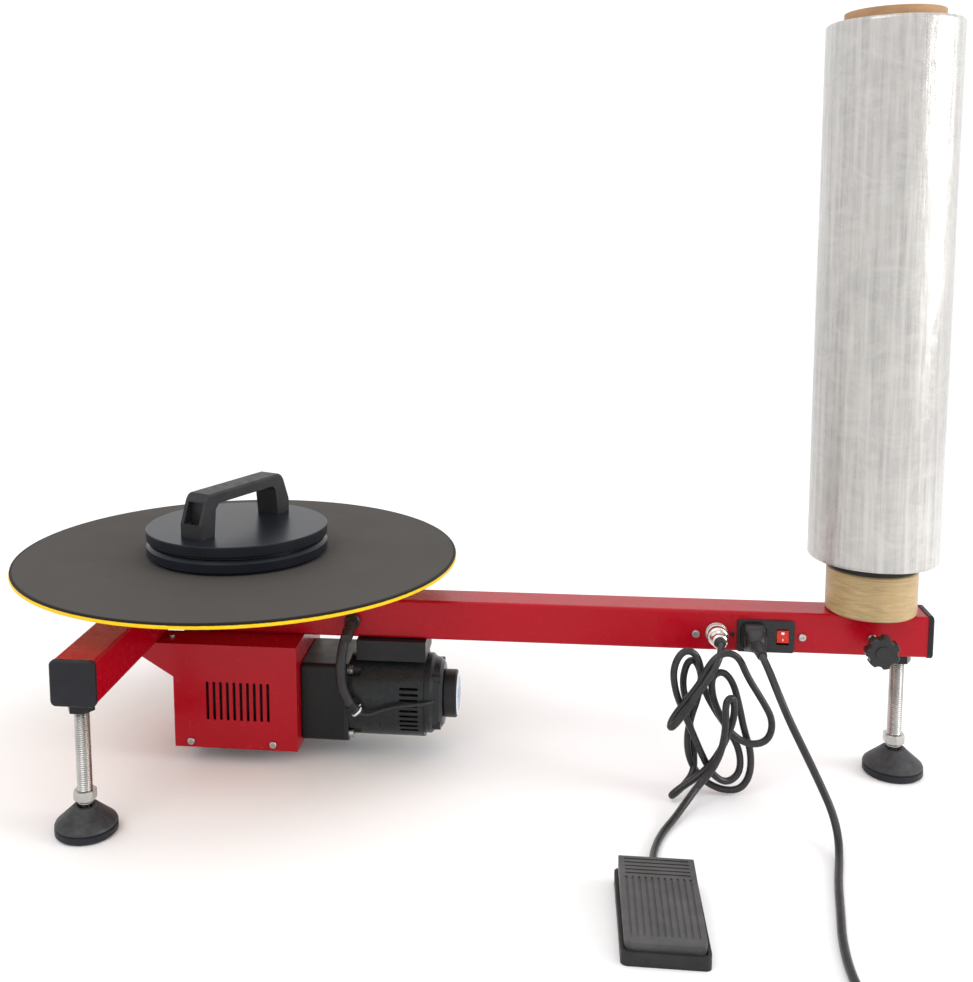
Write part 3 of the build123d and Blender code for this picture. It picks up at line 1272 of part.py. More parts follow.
# round two-pin plug lying beside the coil, its boot against the coil's side
wall_plug_r = 14.0
wall_plug_len = 36.0
wall_boot_r = 4.6
wall_boot_len = 22.0
wall_plug_x = coil_x - wall_boot_len - 8.0
wall_plug_y = coil_y - coil_mean - coil_w / 2 - wall_boot_r + 1.6
plug_axis = Plane(origin=(wall_plug_x, wall_plug_y, wall_plug_r), x_dir=(0, 1, 0), z_dir=(-1, 0, 0))
plug_shell = turned([
    (0, -wall_boot_len), (wall_boot_r, -wall_boot_len), (wall_boot_r + 1, 0), (10, 6), (wall_plug_r, 14),
    (wall_plug_r, wall_plug_len), (0, wall_plug_len),
])
plug_pins = [Pos(dx, 0, wall_plug_len) * Cylinder(2.4, 19, align=(Align.CENTER, Align.CENTER, Align.MIN))
             for dx in (-9.5, 9.5)]
save(Location(plug_axis) * (plug_shell + plug_pins), "mains_plug")
print("turntable axis", round(tx, 3), round(ty, 3), "film axis", round(rx, 3))
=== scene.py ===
"""Tabletop turntable stretch wrapper: finishes, cords and fittings around its CAD frame.

Every piece has its own operator, and the panel in the 3D view's sidebar lists them. Places are in
metres in the model's own frame: X along the main beam, Y away from the operator, Z up. Outlines and
routes are written in millimetres.
"""
import math

import bpy
from bpy.props import FloatProperty, FloatVectorProperty, IntProperty, PointerProperty
from mathutils import Matrix, Vector, noise


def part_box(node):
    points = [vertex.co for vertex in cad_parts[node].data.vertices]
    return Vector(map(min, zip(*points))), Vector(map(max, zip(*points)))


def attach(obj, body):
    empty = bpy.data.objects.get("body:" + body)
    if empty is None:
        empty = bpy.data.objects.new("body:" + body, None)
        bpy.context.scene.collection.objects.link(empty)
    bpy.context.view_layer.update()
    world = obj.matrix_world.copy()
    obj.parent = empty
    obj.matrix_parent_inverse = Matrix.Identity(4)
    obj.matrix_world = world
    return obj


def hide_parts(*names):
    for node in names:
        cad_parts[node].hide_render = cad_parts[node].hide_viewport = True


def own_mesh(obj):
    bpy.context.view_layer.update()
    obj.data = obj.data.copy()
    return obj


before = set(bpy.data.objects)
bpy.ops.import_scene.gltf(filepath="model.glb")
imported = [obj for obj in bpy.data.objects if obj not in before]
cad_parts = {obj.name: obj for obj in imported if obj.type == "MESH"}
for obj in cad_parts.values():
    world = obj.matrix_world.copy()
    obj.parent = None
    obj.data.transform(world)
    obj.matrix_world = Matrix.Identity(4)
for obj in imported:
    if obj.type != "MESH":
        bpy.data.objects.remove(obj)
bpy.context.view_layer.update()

bl_info = {
    "name": "Turntable stretch wrapper",
    "version": (1, 0, 0),
    "blender": (4, 5, 0),
    "location": "3D View > Sidebar > Wrapper",
    "description": "Finishes, cords and fittings of a tabletop stretch wrapper",
    "category": "Object",
}

MM = 0.001
FEET = ("front_foot", "rear_foot", "beam_foot")


def middle(node):
    """The middle of a CAD node's box."""
    low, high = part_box(node)
    return (low + high) / 2


def half_width(node):
    """Half of a CAD node's size along X, which is the radius of a round one."""
    low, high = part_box(node)
    return (high.x - low.x) / 2


# ---------------------------------------------------------------- places taken from the frame
TABLE = middle("turntable_board")
ROLL = middle("film_core")
TUBE = 40 * MM
BEAM_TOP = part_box("main_beam")[1].z
BEAM_BOTTOM = BEAM_TOP - TUBE
BEAM_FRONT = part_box("main_beam")[0].y
BOARD_RADIUS = half_width("turntable_board")
FILM_RADIUS = half_width("film_roll")
CORE_RADIUS = half_width("film_core")
# how far the weld nuts hang below the tubes, and how high a pad's rubber rim stands
WELD_NUT = 10.5 * MM
PAD_RIM = 8.2 * MM
# millimetres along the beam from the turntable's axis
CONNECTOR_ALONG = 482
INLET_ALONG = 517
BLANKING_PLUG_ALONG = 497.3


def spot(along, depth, height):
    """A place given in millimetres from the turntable's axis at the floor."""
    return Vector((TABLE.x + along * MM, TABLE.y + depth * MM, height * MM))


def facing(point, direction):
    """A placement at a point with its own Z along a direction."""
    return Matrix.Translation(point) @ Vector(direction).to_track_quat("Z", "Y").to_matrix().to_4x4()


# ================================================================ shader building
class Finish:
    """A material under construction: one Principled shader and the nodes that feed it."""

    def __init__(self, name, **sockets):
        self.material = bpy.data.materials.new(name)
        self.material.use_nodes = True
        self.tree = self.material.node_tree
        self.shader = self.tree.nodes["Principled BSDF"]
        for socket, value in sockets.items():
            self.shader.inputs[socket.replace("_", " ")].default_value = value
        self.place = self.tree.nodes.new("ShaderNodeTexCoord").outputs["Object"]

    def node(self, kind, **inputs):
        made = self.tree.nodes.new("ShaderNode" + kind)
        for name, value in inputs.items():
            by_index = name[0] == "i" and name[1:].isdigit()
            socket = made.inputs[int(name[1:]) if by_index else name]
            if isinstance(value, bpy.types.NodeSocket):
                self.tree.links.new(value, socket)
            else:
                socket.default_value = value
        return made

    def maths(self, operation, *values):
        made = self.node("Math", **{f"i{i}": value for i, value in enumerate(values)})
        made.operation = operation
        return made.outputs[0]

    def stretched(self, x, y, z, centre=(0, 0, 0)):
        """Object coordinates scaled along each axis about a centre, so that a pattern can run long."""
        moved = self.node("VectorMath", i0=self.place, i1=centre)
        moved.operation = "SUBTRACT"
        scaled = self.node("VectorMath", i0=moved.outputs[0], i1=(x, y, z))
        scaled.operation = "MULTIPLY"
        return scaled.outputs[0]

    def grain(self, scale, detail=3.0, roughness=0.5, where=None, distortion=0.0):
        made = self.node("TexNoise", Vector=where or self.place, Scale=scale, Detail=detail,
                         Roughness=roughness, Distortion=distortion)
        return made.outputs["Fac"]

    def spread(self, factor, low, high, out_low=0.0, out_high=1.0):
        """Maps a stretch of a factor's range onto another range."""
        made = self.node("MapRange", i0=factor, i1=low, i2=high, i3=out_low, i4=out_high)
        return made.outputs[0]

    def blend(self, factor, first, second):
        """A colour mixed from two colours, or from a colour and another mix."""
        made = self.tree.nodes.new("ShaderNodeMix")
        made.data_type = "RGBA"
        for socket, value in ((made.inputs[0], factor), (made.inputs[6], first), (made.inputs[7], second)):
            if isinstance(value, bpy.types.NodeSocket):
                self.tree.links.new(value, socket)
            else:
                socket.default_value = value if isinstance(value, float) else (*value[:3], 1)
        return made.outputs[2]

    def axis(self, letter):
        parts = self.node("SeparateXYZ", Vector=self.place)
        return parts.outputs["XYZ".index(letter)]

    def radius(self, centre):
        """Distance from an upright axis."""
        flat = self.stretched(1, 1, 0, centre)
        made = self.node("VectorMath", i0=flat)
        made.operation = "LENGTH"
        return made.outputs["Value"]

    def turn(self, centre):
        """Angle round an upright axis, in radians."""
        parts = self.node("SeparateXYZ", Vector=self.stretched(1, 1, 1, centre))
        return self.maths("ARCTAN2", parts.outputs[1], parts.outputs[0])

    def feed(self, socket, value):
        self.tree.links.new(value, self.shader.inputs[socket])
        return self

    def tint(self, factor, first, second):
        """Base colour mixed from two colours by a factor."""
        return self.feed("Base Color", self.blend(factor, first, second))

    def roughen(self, factor, low, high):
        """Roughness between two values, from the middle of a factor's range."""
        return self.feed("Roughness", self.spread(factor, 0.3, 0.7, low, high))

    def relief(self, *heights):
        """Bump from (height, depth in metres) pairs, laid one on another."""
        normal = None
        for height, depth in heights:
            made = self.node("Bump", Height=height, Distance=depth, Strength=1.0)
            if normal:
                self.tree.links.new(normal, made.inputs["Normal"])
            normal = made.outputs["Normal"]
        self.tree.links.new(normal, self.shader.inputs["Normal"])
        return self


def colours():
    return bpy.context.scene.wrapper_colours


def sizes():
    return bpy.context.scene.wrapper_sizes


def shade(colour, factor):
    """A darker or lighter version of a colour."""
    return tuple(min(1.0, channel * factor) for channel in colour[:3])


def tones(colour, dark, light):
    """Two versions of a colour, for a finish to blend between."""
    return shade(colour, dark), shade(colour, light)


# ================================================================ finishes
def red_paint():
    """Gloss powder coat with a little orange peel; a band just under the tubes, over the weld nuts, is painted
    near black.
    """
    finish = Finish("red_powder_coat", Specular_IOR_Level=0.22)
    cloud = finish.grain(9, 4)
    red = finish.blend(finish.spread(cloud, 0.3, 0.7), *tones(colours().paint, 0.95, 1.05))
    # the band just under the tubes, over the weld nuts, is painted near black
    under = finish.maths("LESS_THAN", finish.axis("Z"), BEAM_BOTTOM - 0.3 * MM)
    near_beam = finish.maths("GREATER_THAN", finish.axis("Z"), BEAM_BOTTOM - WELD_NUT)
    finish.tint(finish.maths("MULTIPLY", under, near_beam), red, (0.012, 0.012, 0.013))
    finish.roughen(finish.grain(60, 3), 0.22, 0.3)
    return finish.relief((finish.grain(420, 2), 0.012 * MM), (cloud, 0.06 * MM)).material


def cover_paint():
    """The cover's sheet metal in the same red, a little glossier."""
    finish = Finish("red_sheet_metal", Specular_IOR_Level=0.25)
    cloud = finish.grain(14, 4)
    finish.tint(finish.spread(cloud, 0.3, 0.7), *tones(colours().paint, 0.97, 1.06))
    finish.roughen(finish.grain(80, 3), 0.2, 0.28)
    return finish.relief((finish.grain(420, 2), 0.012 * MM), (cloud, 0.08 * MM)).material


def moulded_plastic(name, colour, roughness, pebble=900, depth=0.05):
    """Moulded black plastic with a fine spark-eroded surface and paler rubbed patches."""
    finish = Finish(name, Specular_IOR_Level=0.25)
    wear = finish.spread(finish.grain(35, 5, 0.6), 0.45, 0.75)
    finish.tint(wear, colour, shade(colour, 1.5))
    finish.roughen(finish.grain(120, 3), roughness - 0.06, roughness + 0.08)
    return finish.relief((finish.grain(pebble, 2), depth * MM)).material


def pad_rubber():
    """Levelling pad: a black rubber rim below a paler grey cone."""
    finish = Finish("levelling_pad_rubber", Specular_IOR_Level=0.3)
    rim = finish.maths("LESS_THAN", finish.axis("Z"), PAD_RIM)
    mottle = finish.spread(finish.grain(90, 5, 0.65), 0.35, 0.7)
    cone = finish.blend(mottle, (0.022, 0.022, 0.024), (0.05, 0.05, 0.053))
    finish.tint(rim, cone, (0.011, 0.012, 0.016))
    finish.roughen(finish.grain(70, 4), 0.42, 0.62)
    return finish.relief((finish.grain(650, 3), 0.1 * MM)).material


def bright_metal(name, colour, roughness, streak=(1, 1, 1)):
    """Plated or machined metal with fine streaks and a little tarnish."""
    finish = Finish(name, Metallic=1.0)
    streaks = finish.grain(500, 3, 0.6, finish.stretched(*streak))
    tarnish = finish.spread(finish.grain(45, 4), 0.4, 0.8)
    finish.tint(tarnish, colour, shade(colour, 0.72))
    finish.roughen(streaks, roughness - 0.07, roughness + 0.1)
    return finish.relief((streaks, 0.006 * MM)).material


def cast_black(name, roughness, depth=1.0):
    """Black stoved paint on die-cast aluminium."""
    finish = Finish(name, Specular_IOR_Level=0.25)
    grain = finish.grain(300, 4, 0.6)
    finish.tint(finish.spread(grain, 0.4, 0.8), *tones(colours().motor, depth, 1.7 * depth))
    finish.roughen(finish.grain(60, 3), roughness - 0.05, roughness + 0.08)
    return finish.relief((grain, 0.04 * MM), (finish.grain(40, 2), 0.08 * MM)).material


def cord_jacket(name, roughness):
    """Soft black cable jacket, smeared by handling."""
    finish = Finish(name, Specular_IOR_Level=0.4)
    smear = finish.grain(60, 4, 0.6)
    finish.tint(finish.spread(smear, 0.35, 0.75), colours().cord, shade(colours().cord, 1.9))
    finish.roughen(finish.grain(200, 3), roughness - 0.07, roughness + 0.09)
    return finish.relief((finish.grain(700, 2), 0.04 * MM), (smear, 0.15 * MM)).material


def gloss_black(name):
    """Glossy moulded black, with the fine scratches of handling."""
    finish = Finish(name, Specular_IOR_Level=0.35)
    scratch = finish.grain(160, 5, 0.7, finish.stretched(1, 1, 9))
    finish.tint(finish.spread(scratch, 0.5, 0.8), (0.012, 0.012, 0.013), (0.03, 0.03, 0.031))
    finish.roughen(scratch, 0.22, 0.38)
    return finish.relief((finish.grain(900, 2), 0.02 * MM)).material


def rocker_plastic():
    """Bright red rocker, faintly clouded."""
    finish = Finish("rocker_red", Specular_IOR_Level=0.35)
    cloud = finish.spread(finish.grain(150, 3), 0.3, 0.7)
    finish.tint(cloud, (0.5, 0.012, 0.006), (0.62, 0.03, 0.012))
    finish.roughen(finish.grain(300, 2), 0.15, 0.25)
    return finish.relief((finish.grain(500, 2), 0.02 * MM)).material


def mark_white():
    """White filled marks."""
    finish = Finish("mark_white")
    finish.tint(finish.grain(600, 2), (0.75, 0.73, 0.7), (0.9, 0.9, 0.88))
    finish.roughen(finish.grain(200, 2), 0.45, 0.6)
    return finish.material


def circuit_board():
    """Green board with black and grey components on its operator side."""
    finish = Finish("circuit_board", Coat_Weight=0.3)
    front = finish.maths("LESS_THAN", finish.axis("Y"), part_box("control_board")[1].y - 18.2 * MM)
    tracks = finish.maths("GREATER_THAN", finish.grain(260, 1, 0.2, finish.stretched(1, 1, 0.3)), 0.55)
    board = finish.blend(tracks, (0.01, 0.12, 0.04), (0.03, 0.26, 0.09))
    finish.tint(front, board, (0.02, 0.02, 0.022))
    finish.roughen(finish.grain(90, 2), 0.3, 0.5)
    return finish.relief((tracks, 0.03 * MM)).material


def laminated_iron():
    """Stator: thin dark plates stacked along the motor's axis."""
    finish = Finish("laminated_iron", Metallic=0.7)
    plates = finish.maths("SINE", finish.maths("MULTIPLY", finish.axis("X"), math.tau / (1.0 * MM)))
    finish.tint(finish.spread(plates, -1, 1), (0.06, 0.045, 0.035), (0.16, 0.14, 0.12))
    finish.roughen(finish.grain(120, 3), 0.4, 0.6)
    return finish.relief((plates, 0.1 * MM)).material


def board_edge():
    """Turntable board: raw plywood below, yellow paint on its edge."""
    finish = Finish("turntable_board_yellow", Specular_IOR_Level=0.2)
    rings = finish.grain(22, 6, 0.62, finish.stretched(1, 9, 1), distortion=0.6)
    ply = finish.blend(finish.spread(rings, 0.35, 0.68), (0.50, 0.31, 0.13), (0.72, 0.52, 0.27))
    brush = finish.spread(finish.grain(90, 3, 0.5, finish.stretched(1, 1, 6)), 0.3, 0.7)
    yellow = finish.blend(brush, *tones(colours().edge, 0.9, 1.08))
    rim = finish.maths("GREATER_THAN", finish.radius(TABLE), BOARD_RADIUS - 6 * MM)
    finish.tint(rim, ply, yellow)
    finish.roughen(rings, 0.36, 0.5)
    return finish.relief((rings, 0.06 * MM)).material


def mat_rubber():
    """Fine matt mat, speckled, with a smooth black cut edge."""
    finish = Finish("turntable_mat_rubber", Specular_IOR_Level=0.2, Sheen_Weight=0.04, Sheen_Roughness=0.5)
    speck = finish.grain(1500, 3, 0.7)
    dust = finish.grain(16, 5, 0.55)
    cloth = finish.blend(finish.spread(speck, 0.36, 0.66), *tones(colours().mat, 0.74, 1.22))
    cloth = finish.blend(finish.spread(dust, 0.35, 0.7, 0.0, 0.35), cloth, shade(colours().mat, 1.3))
    rim = finish.maths("GREATER_THAN", finish.radius(TABLE), BOARD_RADIUS - 3.2 * MM)
    finish.tint(rim, cloth, (0.009, 0.008, 0.008))
    finish.roughen(dust, 0.72, 0.9)
    return finish.relief((speck, 0.09 * MM)).material


def press_black():
    """Black anodised discs, turned, with a soft sheen in rings."""
    finish = Finish("hold_down_black", Specular_IOR_Level=0.2)
    reach = finish.radius(TABLE)
    outward = finish.node("CombineXYZ", i0=finish.maths("MULTIPLY", reach, 900.0)).outputs[0]
    rings = finish.grain(1.0, 3, 0.7, outward)
    cloud = finish.grain(25, 4)
    finish.tint(finish.spread(cloud, 0.3, 0.75), colours().press, shade(colours().press, 1.6))
    finish.roughen(rings, 0.26, 0.36)
    return finish.relief((rings, 0.015 * MM), (cloud, 0.1 * MM)).material


def pale_wood():
    """Turned pale wood, its grain lying level round the collar."""
    finish = Finish("collar_pale_wood", Coat_Weight=0.15, Coat_Roughness=0.3)
    fibres = finish.grain(22, 6, 0.62, finish.stretched(1, 1, 12, ROLL), distortion=1.6)
    pores = finish.grain(120, 4, 0.6, finish.stretched(0.6, 0.6, 9, ROLL))
    straw = finish.blend(finish.spread(fibres, 0.36, 0.64), *tones(colours().wood, 0.72, 1.1))
    finish.tint(finish.spread(pores, 0.56, 0.75, 0, 0.5), straw, shade(colours().wood, 0.5))
    finish.roughen(fibres, 0.42, 0.58)
    return finish.relief((fibres, 0.12 * MM), (pores, 0.06 * MM)).material


def kraft_board():
    """Brown core board wound in a steep spiral, with its seams and fibres."""
    finish = Finish("core_kraft_board")
    wind = finish.maths("ADD", finish.maths("DIVIDE", finish.axis("Z"), 0.11),
                        finish.maths("DIVIDE", finish.turn(ROLL), math.tau))
    seam = finish.maths("PINGPONG", wind, 0.5)
    fibre = finish.grain(70, 6, 0.7, finish.stretched(1, 1, 3, ROLL))
    brown = finish.blend(finish.spread(fibre, 0.3, 0.7), *tones(colours().kraft, 0.8, 1.15))
    finish.tint(finish.spread(seam, 0.0, 0.02, 1.0, 0.0), brown, shade(colours().kraft, 0.5))
    finish.roughen(fibre, 0.7, 0.85)
    return finish.relief((fibre, 0.1 * MM)).material


def stretch_film():
    """Many wound layers of clear film: silvery, streaked up and down, with fine creases."""
    finish = Finish("wound_stretch_film", Metallic=0.4, Specular_IOR_Level=0.5, Coat_Weight=0.5,
                    Coat_Roughness=0.1)
    turn = finish.turn(ROLL)
    upright = finish.node("CombineXYZ", i0=finish.maths("MULTIPLY", turn, 2.2),
                          i1=finish.maths("MULTIPLY", finish.axis("Z"), 1.2)).outputs[0]
    streaks = finish.grain(5, 6, 0.66, upright)
    crepe = finish.grain(34, 7, 0.7, finish.stretched(1, 1, 1.5, ROLL), distortion=1.4)
    fine = finish.grain(170, 5, 0.7, finish.stretched(1, 1, 0.7, ROLL), distortion=0.8)
    silver = finish.blend(finish.spread(streaks, 0.34, 0.66), *tones(colours().film, 0.74, 1.12))
    warm = finish.blend(finish.spread(crepe, 0.4, 0.7, 0, 0.5), silver, shade(colours().film, 1.25))
    finish.feed("Base Color", warm)
    patch = finish.grain(9, 4, 0.6, finish.stretched(1, 1, 0.5, ROLL))
    finish.feed("Roughness", finish.spread(patch, 0.35, 0.65, 0.16, 0.42))
    crinkled = finish.maths("MULTIPLY", fine, finish.spread(patch, 0.42, 0.6, 1.0, 0.15))
    return finish.relief((streaks, 0.45 * MM), (crepe, 0.32 * MM), (crinkled, 0.22 * MM)).material


def nylon():
    """Slightly yellowed white nylon."""
    finish = Finish("hub_nylon", Subsurface_Weight=0.1, Subsurface_Scale=0.002)
    cloud = finish.spread(finish.grain(60, 4), 0.3, 0.7)
    finish.tint(cloud, (0.68, 0.67, 0.6), (0.8, 0.79, 0.75))
    finish.roughen(finish.grain(200, 3), 0.38, 0.52)
    return finish.relief((finish.grain(700, 2), 0.03 * MM)).material


def pedal_plastic():
    """Dark warm-grey moulding with a fine leathery surface, rubbed paler in patches."""
    finish = Finish("pedal_dark_grey")
    wear = finish.grain(50, 5, 0.6)
    finish.tint(finish.spread(wear, 0.35, 0.75), *tones(colours().pedal, 0.85, 1.3))
    finish.roughen(finish.grain(90, 4), 0.42, 0.6)
    return finish.relief((finish.grain(800, 3), 0.08 * MM)).material


def cap_disc():
    """Blank printed disc on the motor's cap: a blue field inside a white ring."""
    finish = Finish("motor_cap_disc", Coat_Weight=0.7, Coat_Roughness=0.08)
    hub = middle("motor_cap")
    flat = finish.node("VectorMath", i0=finish.stretched(0, 1, 1, hub))
    flat.operation = "LENGTH"
    ring = finish.maths("GREATER_THAN", flat.outputs["Value"], 17.2 * MM)
    field = finish.blend(finish.grain(90, 3), (0.05, 0.16, 0.42), (0.10, 0.26, 0.55))
    finish.tint(ring, field, (0.72, 0.76, 0.8))
    finish.roughen(finish.grain(120, 2), 0.2, 0.3)
    return finish.material


def tie_plastic():
    """Milky white cable tie."""
    finish = Finish("cable_tie_white", Subsurface_Weight=0.2, Subsurface_Scale=0.001)
    finish.tint(finish.grain(400, 3), (0.6, 0.61, 0.62), (0.82, 0.82, 0.83))
    finish.roughen(finish.grain(200, 2), 0.3, 0.45)
    return finish.material


def floor_finish():
    """Pale matt studio floor."""
    finish = Finish("studio_floor")
    finish.tint(finish.grain(3, 3), shade(colours().floor, 0.985), colours().floor)
    finish.roughen(finish.grain(5, 2), 0.85, 0.95)
    return finish.material


def kept(build, *settings):
    """The material that a function builds, made once and used again."""
    key = "_".join([build.__name__, *map(str, settings[:1])])
    found = [m for m in bpy.data.materials if m.get("built_as") == key]
    if found:
        return found[0]
    material = build(*settings)
    material["built_as"] = key
    return material


def steel(name="zinc_plated_steel"):
    return kept(bright_metal, name, (0.5, 0.49, 0.47), 0.3)


def coat(material, *nodes):
    """Gives CAD nodes one material in every slot."""
    for name in nodes:
        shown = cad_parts[name]
        if not shown.material_slots:
            shown.data.materials.append(material)
        for place in shown.material_slots:
            place.material = material


# ================================================================ mesh building
def new_piece(name, verts, faces, material, body, crease=35):
    """A mesh piece from points and faces, shaded smooth up to a crease angle, riding on its body."""
    mesh = bpy.data.meshes.new(name)
    mesh.from_pydata(verts, [], faces)
    mesh.update()
    mesh.shade_smooth()
    mesh.set_sharp_from_angle(angle=math.radians(crease))
    mesh.materials.append(material)
    piece = bpy.data.objects.new(name, mesh)
    bpy.context.scene.collection.objects.link(piece)
    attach(piece, body)
    return piece


def rings_mesh(rings, closed_ends=True):
    """Faces that join rings of equal count into a skin, with a fan over each end."""
    count = len(rings[0])
    verts = [point for ring in rings for point in ring]
    faces = []
    for row in range(len(rings) - 1):
        for side in range(count):
            after = (side + 1) % count
            faces.append((row * count + side, row * count + after,
                          (row + 1) * count + after, (row + 1) * count + side))
    if closed_ends:
        last = (len(rings) - 1) * count
        faces.append(tuple(reversed(range(count))))
        faces.append(tuple(range(last, last + count)))
    return verts, faces


def turned(name, outline, place, material, body, sides=48, ripple=None):
    """A turned piece from an (r, z) outline in millimetres; ripple(angle, z) adds to the radius."""
    rings = []
    for radius, height in outline:
        ring = []
        for side in range(sides):
            angle = math.tau * side / sides
            extra = ripple(angle, height) if ripple and radius else 0.0
            reach = max(radius, 0.02) + extra
            ring.append(place @ Vector((reach * math.cos(angle), reach * math.sin(angle), height)))
        rings.append(ring)
    verts, faces = rings_mesh(rings)
    return new_piece(name, verts, faces, material, body)


def in_mm(point, direction):
    """A placement for outlines written in millimetres."""
    return facing(point, direction) @ Matrix.Scale(MM, 4)


def threaded_rod(name, radius, length, pitch, depth, place, material, body):
    """A screw thread cut as one true helix, with a chamfered start at both ends; millimetres."""
    sides, steps = 30, 6
    rows = int(length / pitch * steps)
    rings = []
    for row in range(rows + 1):
        height = length * row / rows
        lead_in = min(height, length - height, pitch) / pitch
        ring = []
        for side in range(sides):
            angle = math.tau * side / sides
            phase = (height / pitch - side / sides) % 1
            cut = depth * abs(2 * phase - 1)
            reach = min(radius - cut, radius - depth * (1 - lead_in))
            ring.append(place @ Vector((reach * math.cos(angle), reach * math.sin(angle), height)))
        rings.append(ring)
    verts, faces = rings_mesh(rings)
    return new_piece(name, verts, faces, material, body, crease=50)


def hexagon(name, flats, height, place, material, body):
    """A hexagon nut with its corners chamfered; millimetres."""
    corner = flats / math.sqrt(3)
    profile = ((0.86, 0.0), (0.93, 0.0), (1.0, 0.09), (1.0, 0.91), (0.93, 1.0), (0.86, 1.0))
    sides = 48
    rings = []
    for scale, level in profile:
        ring = []
        for side in range(sides):
            angle = math.tau * side / sides
            off = (angle + math.pi / 6) % (math.pi / 3) - math.pi / 6
            reach = min(flats / 2 / math.cos(off), corner * scale)
            ring.append(place @ Vector((reach * math.cos(angle), reach * math.sin(angle), level * height)))
        rings.append(ring)
    verts, faces = rings_mesh(rings)
    return new_piece(name, verts, faces, material, body, crease=25)


def rounded_loft(name, sections, place, material, body):
    """A skin through rounded rectangles: (half width, half height, corner, distance, rise) in mm."""
    corner_points = 6
    rings = []
    for half_width, half_height, corner, distance, rise in sections:
        ring = []
        for quarter, (sx, sy) in enumerate(((1, 1), (-1, 1), (-1, -1), (1, -1))):
            for step in range(corner_points):
                angle = math.pi / 2 * (quarter + step / (corner_points - 1))
                ring.append(place @ Vector((
                    sx * (half_width - corner) + corner * math.cos(angle),
                    sy * (half_height - corner) + corner * math.sin(angle) + rise, distance)))
        rings.append(ring)
    verts, faces = rings_mesh(rings)
    return new_piece(name, verts, faces, material, body)


def cord_curve(name, points, diameter, material, body):
    """A cord as one smooth open spline through its route's control points, in metres."""
    curve = bpy.data.curves.new(name, "CURVE")
    curve.dimensions = "3D"
    curve.resolution_u = 10
    curve.bevel_depth = diameter / 2
    curve.bevel_resolution = 5
    curve.use_fill_caps = True
    spline = curve.splines.new("NURBS")
    spline.points.add(len(points) - 1)
    for control, point in zip(spline.points, points):
        control.co = (*point, 1.0)
    spline.order_u = 3
    spline.use_endpoint_u = True
    curve.materials.append(material)
    cord = bpy.data.objects.new(name, curve)
    bpy.context.scene.collection.objects.link(cord)
    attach(cord, body)
    return cord


def band(name, radius, width, thickness, place, material, body):
    """A flat strap closed round something, with a small square head and its clipped tail; mm."""
    inner, outer = radius, radius + thickness
    outline = [(inner, -width / 2), (outer, -width / 2), (outer, width / 2), (inner, width / 2)]
    sides = 40
    ring = turned(name, outline, place, material, body, sides)
    # the turned skin has no inner wall, so its four rings are joined again as a closed hoop
    mesh = ring.data
    verts = [tuple(v.co) for v in mesh.vertices]
    faces = [(row * sides + s, row * sides + (s + 1) % sides, ((row + 1) % 4) * sides + (s + 1) % sides,
              ((row + 1) % 4) * sides + s) for row in range(4) for s in range(sides)]
    base = len(verts)
    head = [(outer - 0.4, -1.9, -width / 2 - 0.5), (outer + 3.2, 1.9, width / 2 + 0.5)]
    tail = [(outer + 0.9, 1.8, -width / 2 + 0.4), (outer + 2.1, 6.5, width / 2 - 0.4)]
    for low, high in (head, tail):
        corners = [(x, y, z) for x in (low[0], high[0]) for y in (low[1], high[1]) for z in (low[2], high[2])]
        verts += [tuple(place @ Vector(c)) for c in corners]
        faces += [tuple(base + i for i in face) for face in
                  ((0, 1, 3, 2), (4, 6, 7, 5), (0, 4, 5, 1), (2, 3, 7, 6), (0, 2, 6, 4), (1, 5, 7, 3))]
        base += 8
    mesh.clear_geometry()
    mesh.from_pydata(verts, [], faces)
    mesh.update()
    return ring


# ================================================================ settings
def colour_setting(name, description, default):
    return FloatVectorProperty(name=name, description=description, default=default, size=3,
                               min=0.0, max=1.0, subtype="COLOR")


class WRAPPER_PG_colours(bpy.types.PropertyGroup):
    """Colours of the wrapper's finishes."""

    paint: colour_setting("Paint", "Powder coat on the tubes and the cover", (0.37, 0.0006, 0.009))
    motor: colour_setting("Motor", "Stoved paint on the motor and gearhead", (0.0085, 0.0095, 0.0105))
    cord: colour_setting("Cords", "Jackets of the cords", (0.013, 0.013, 0.014))
    mat: colour_setting("Mat", "Mat on the turntable", (0.052, 0.0455, 0.041))
    edge: colour_setting("Board edge", "Painted edge of the turntable board", (0.86, 0.53, 0.006))
    press: colour_setting("Hold-down plate", "Anodised discs of the hold-down plate", (0.007, 0.0085, 0.012))
    wood: colour_setting("Collar", "Turned wooden collar under the film", (0.44, 0.305, 0.14))
    kraft: colour_setting("Core", "Board core of the film roll", (0.42, 0.24, 0.12))
    film: colour_setting("Film", "Wound stretch film", (0.47, 0.455, 0.435))
    pedal: colour_setting("Pedal", "Foot pedal moulding", (0.056, 0.0545, 0.054))
    floor: colour_setting("Floor", "Studio floor", (0.93, 0.93, 0.93))


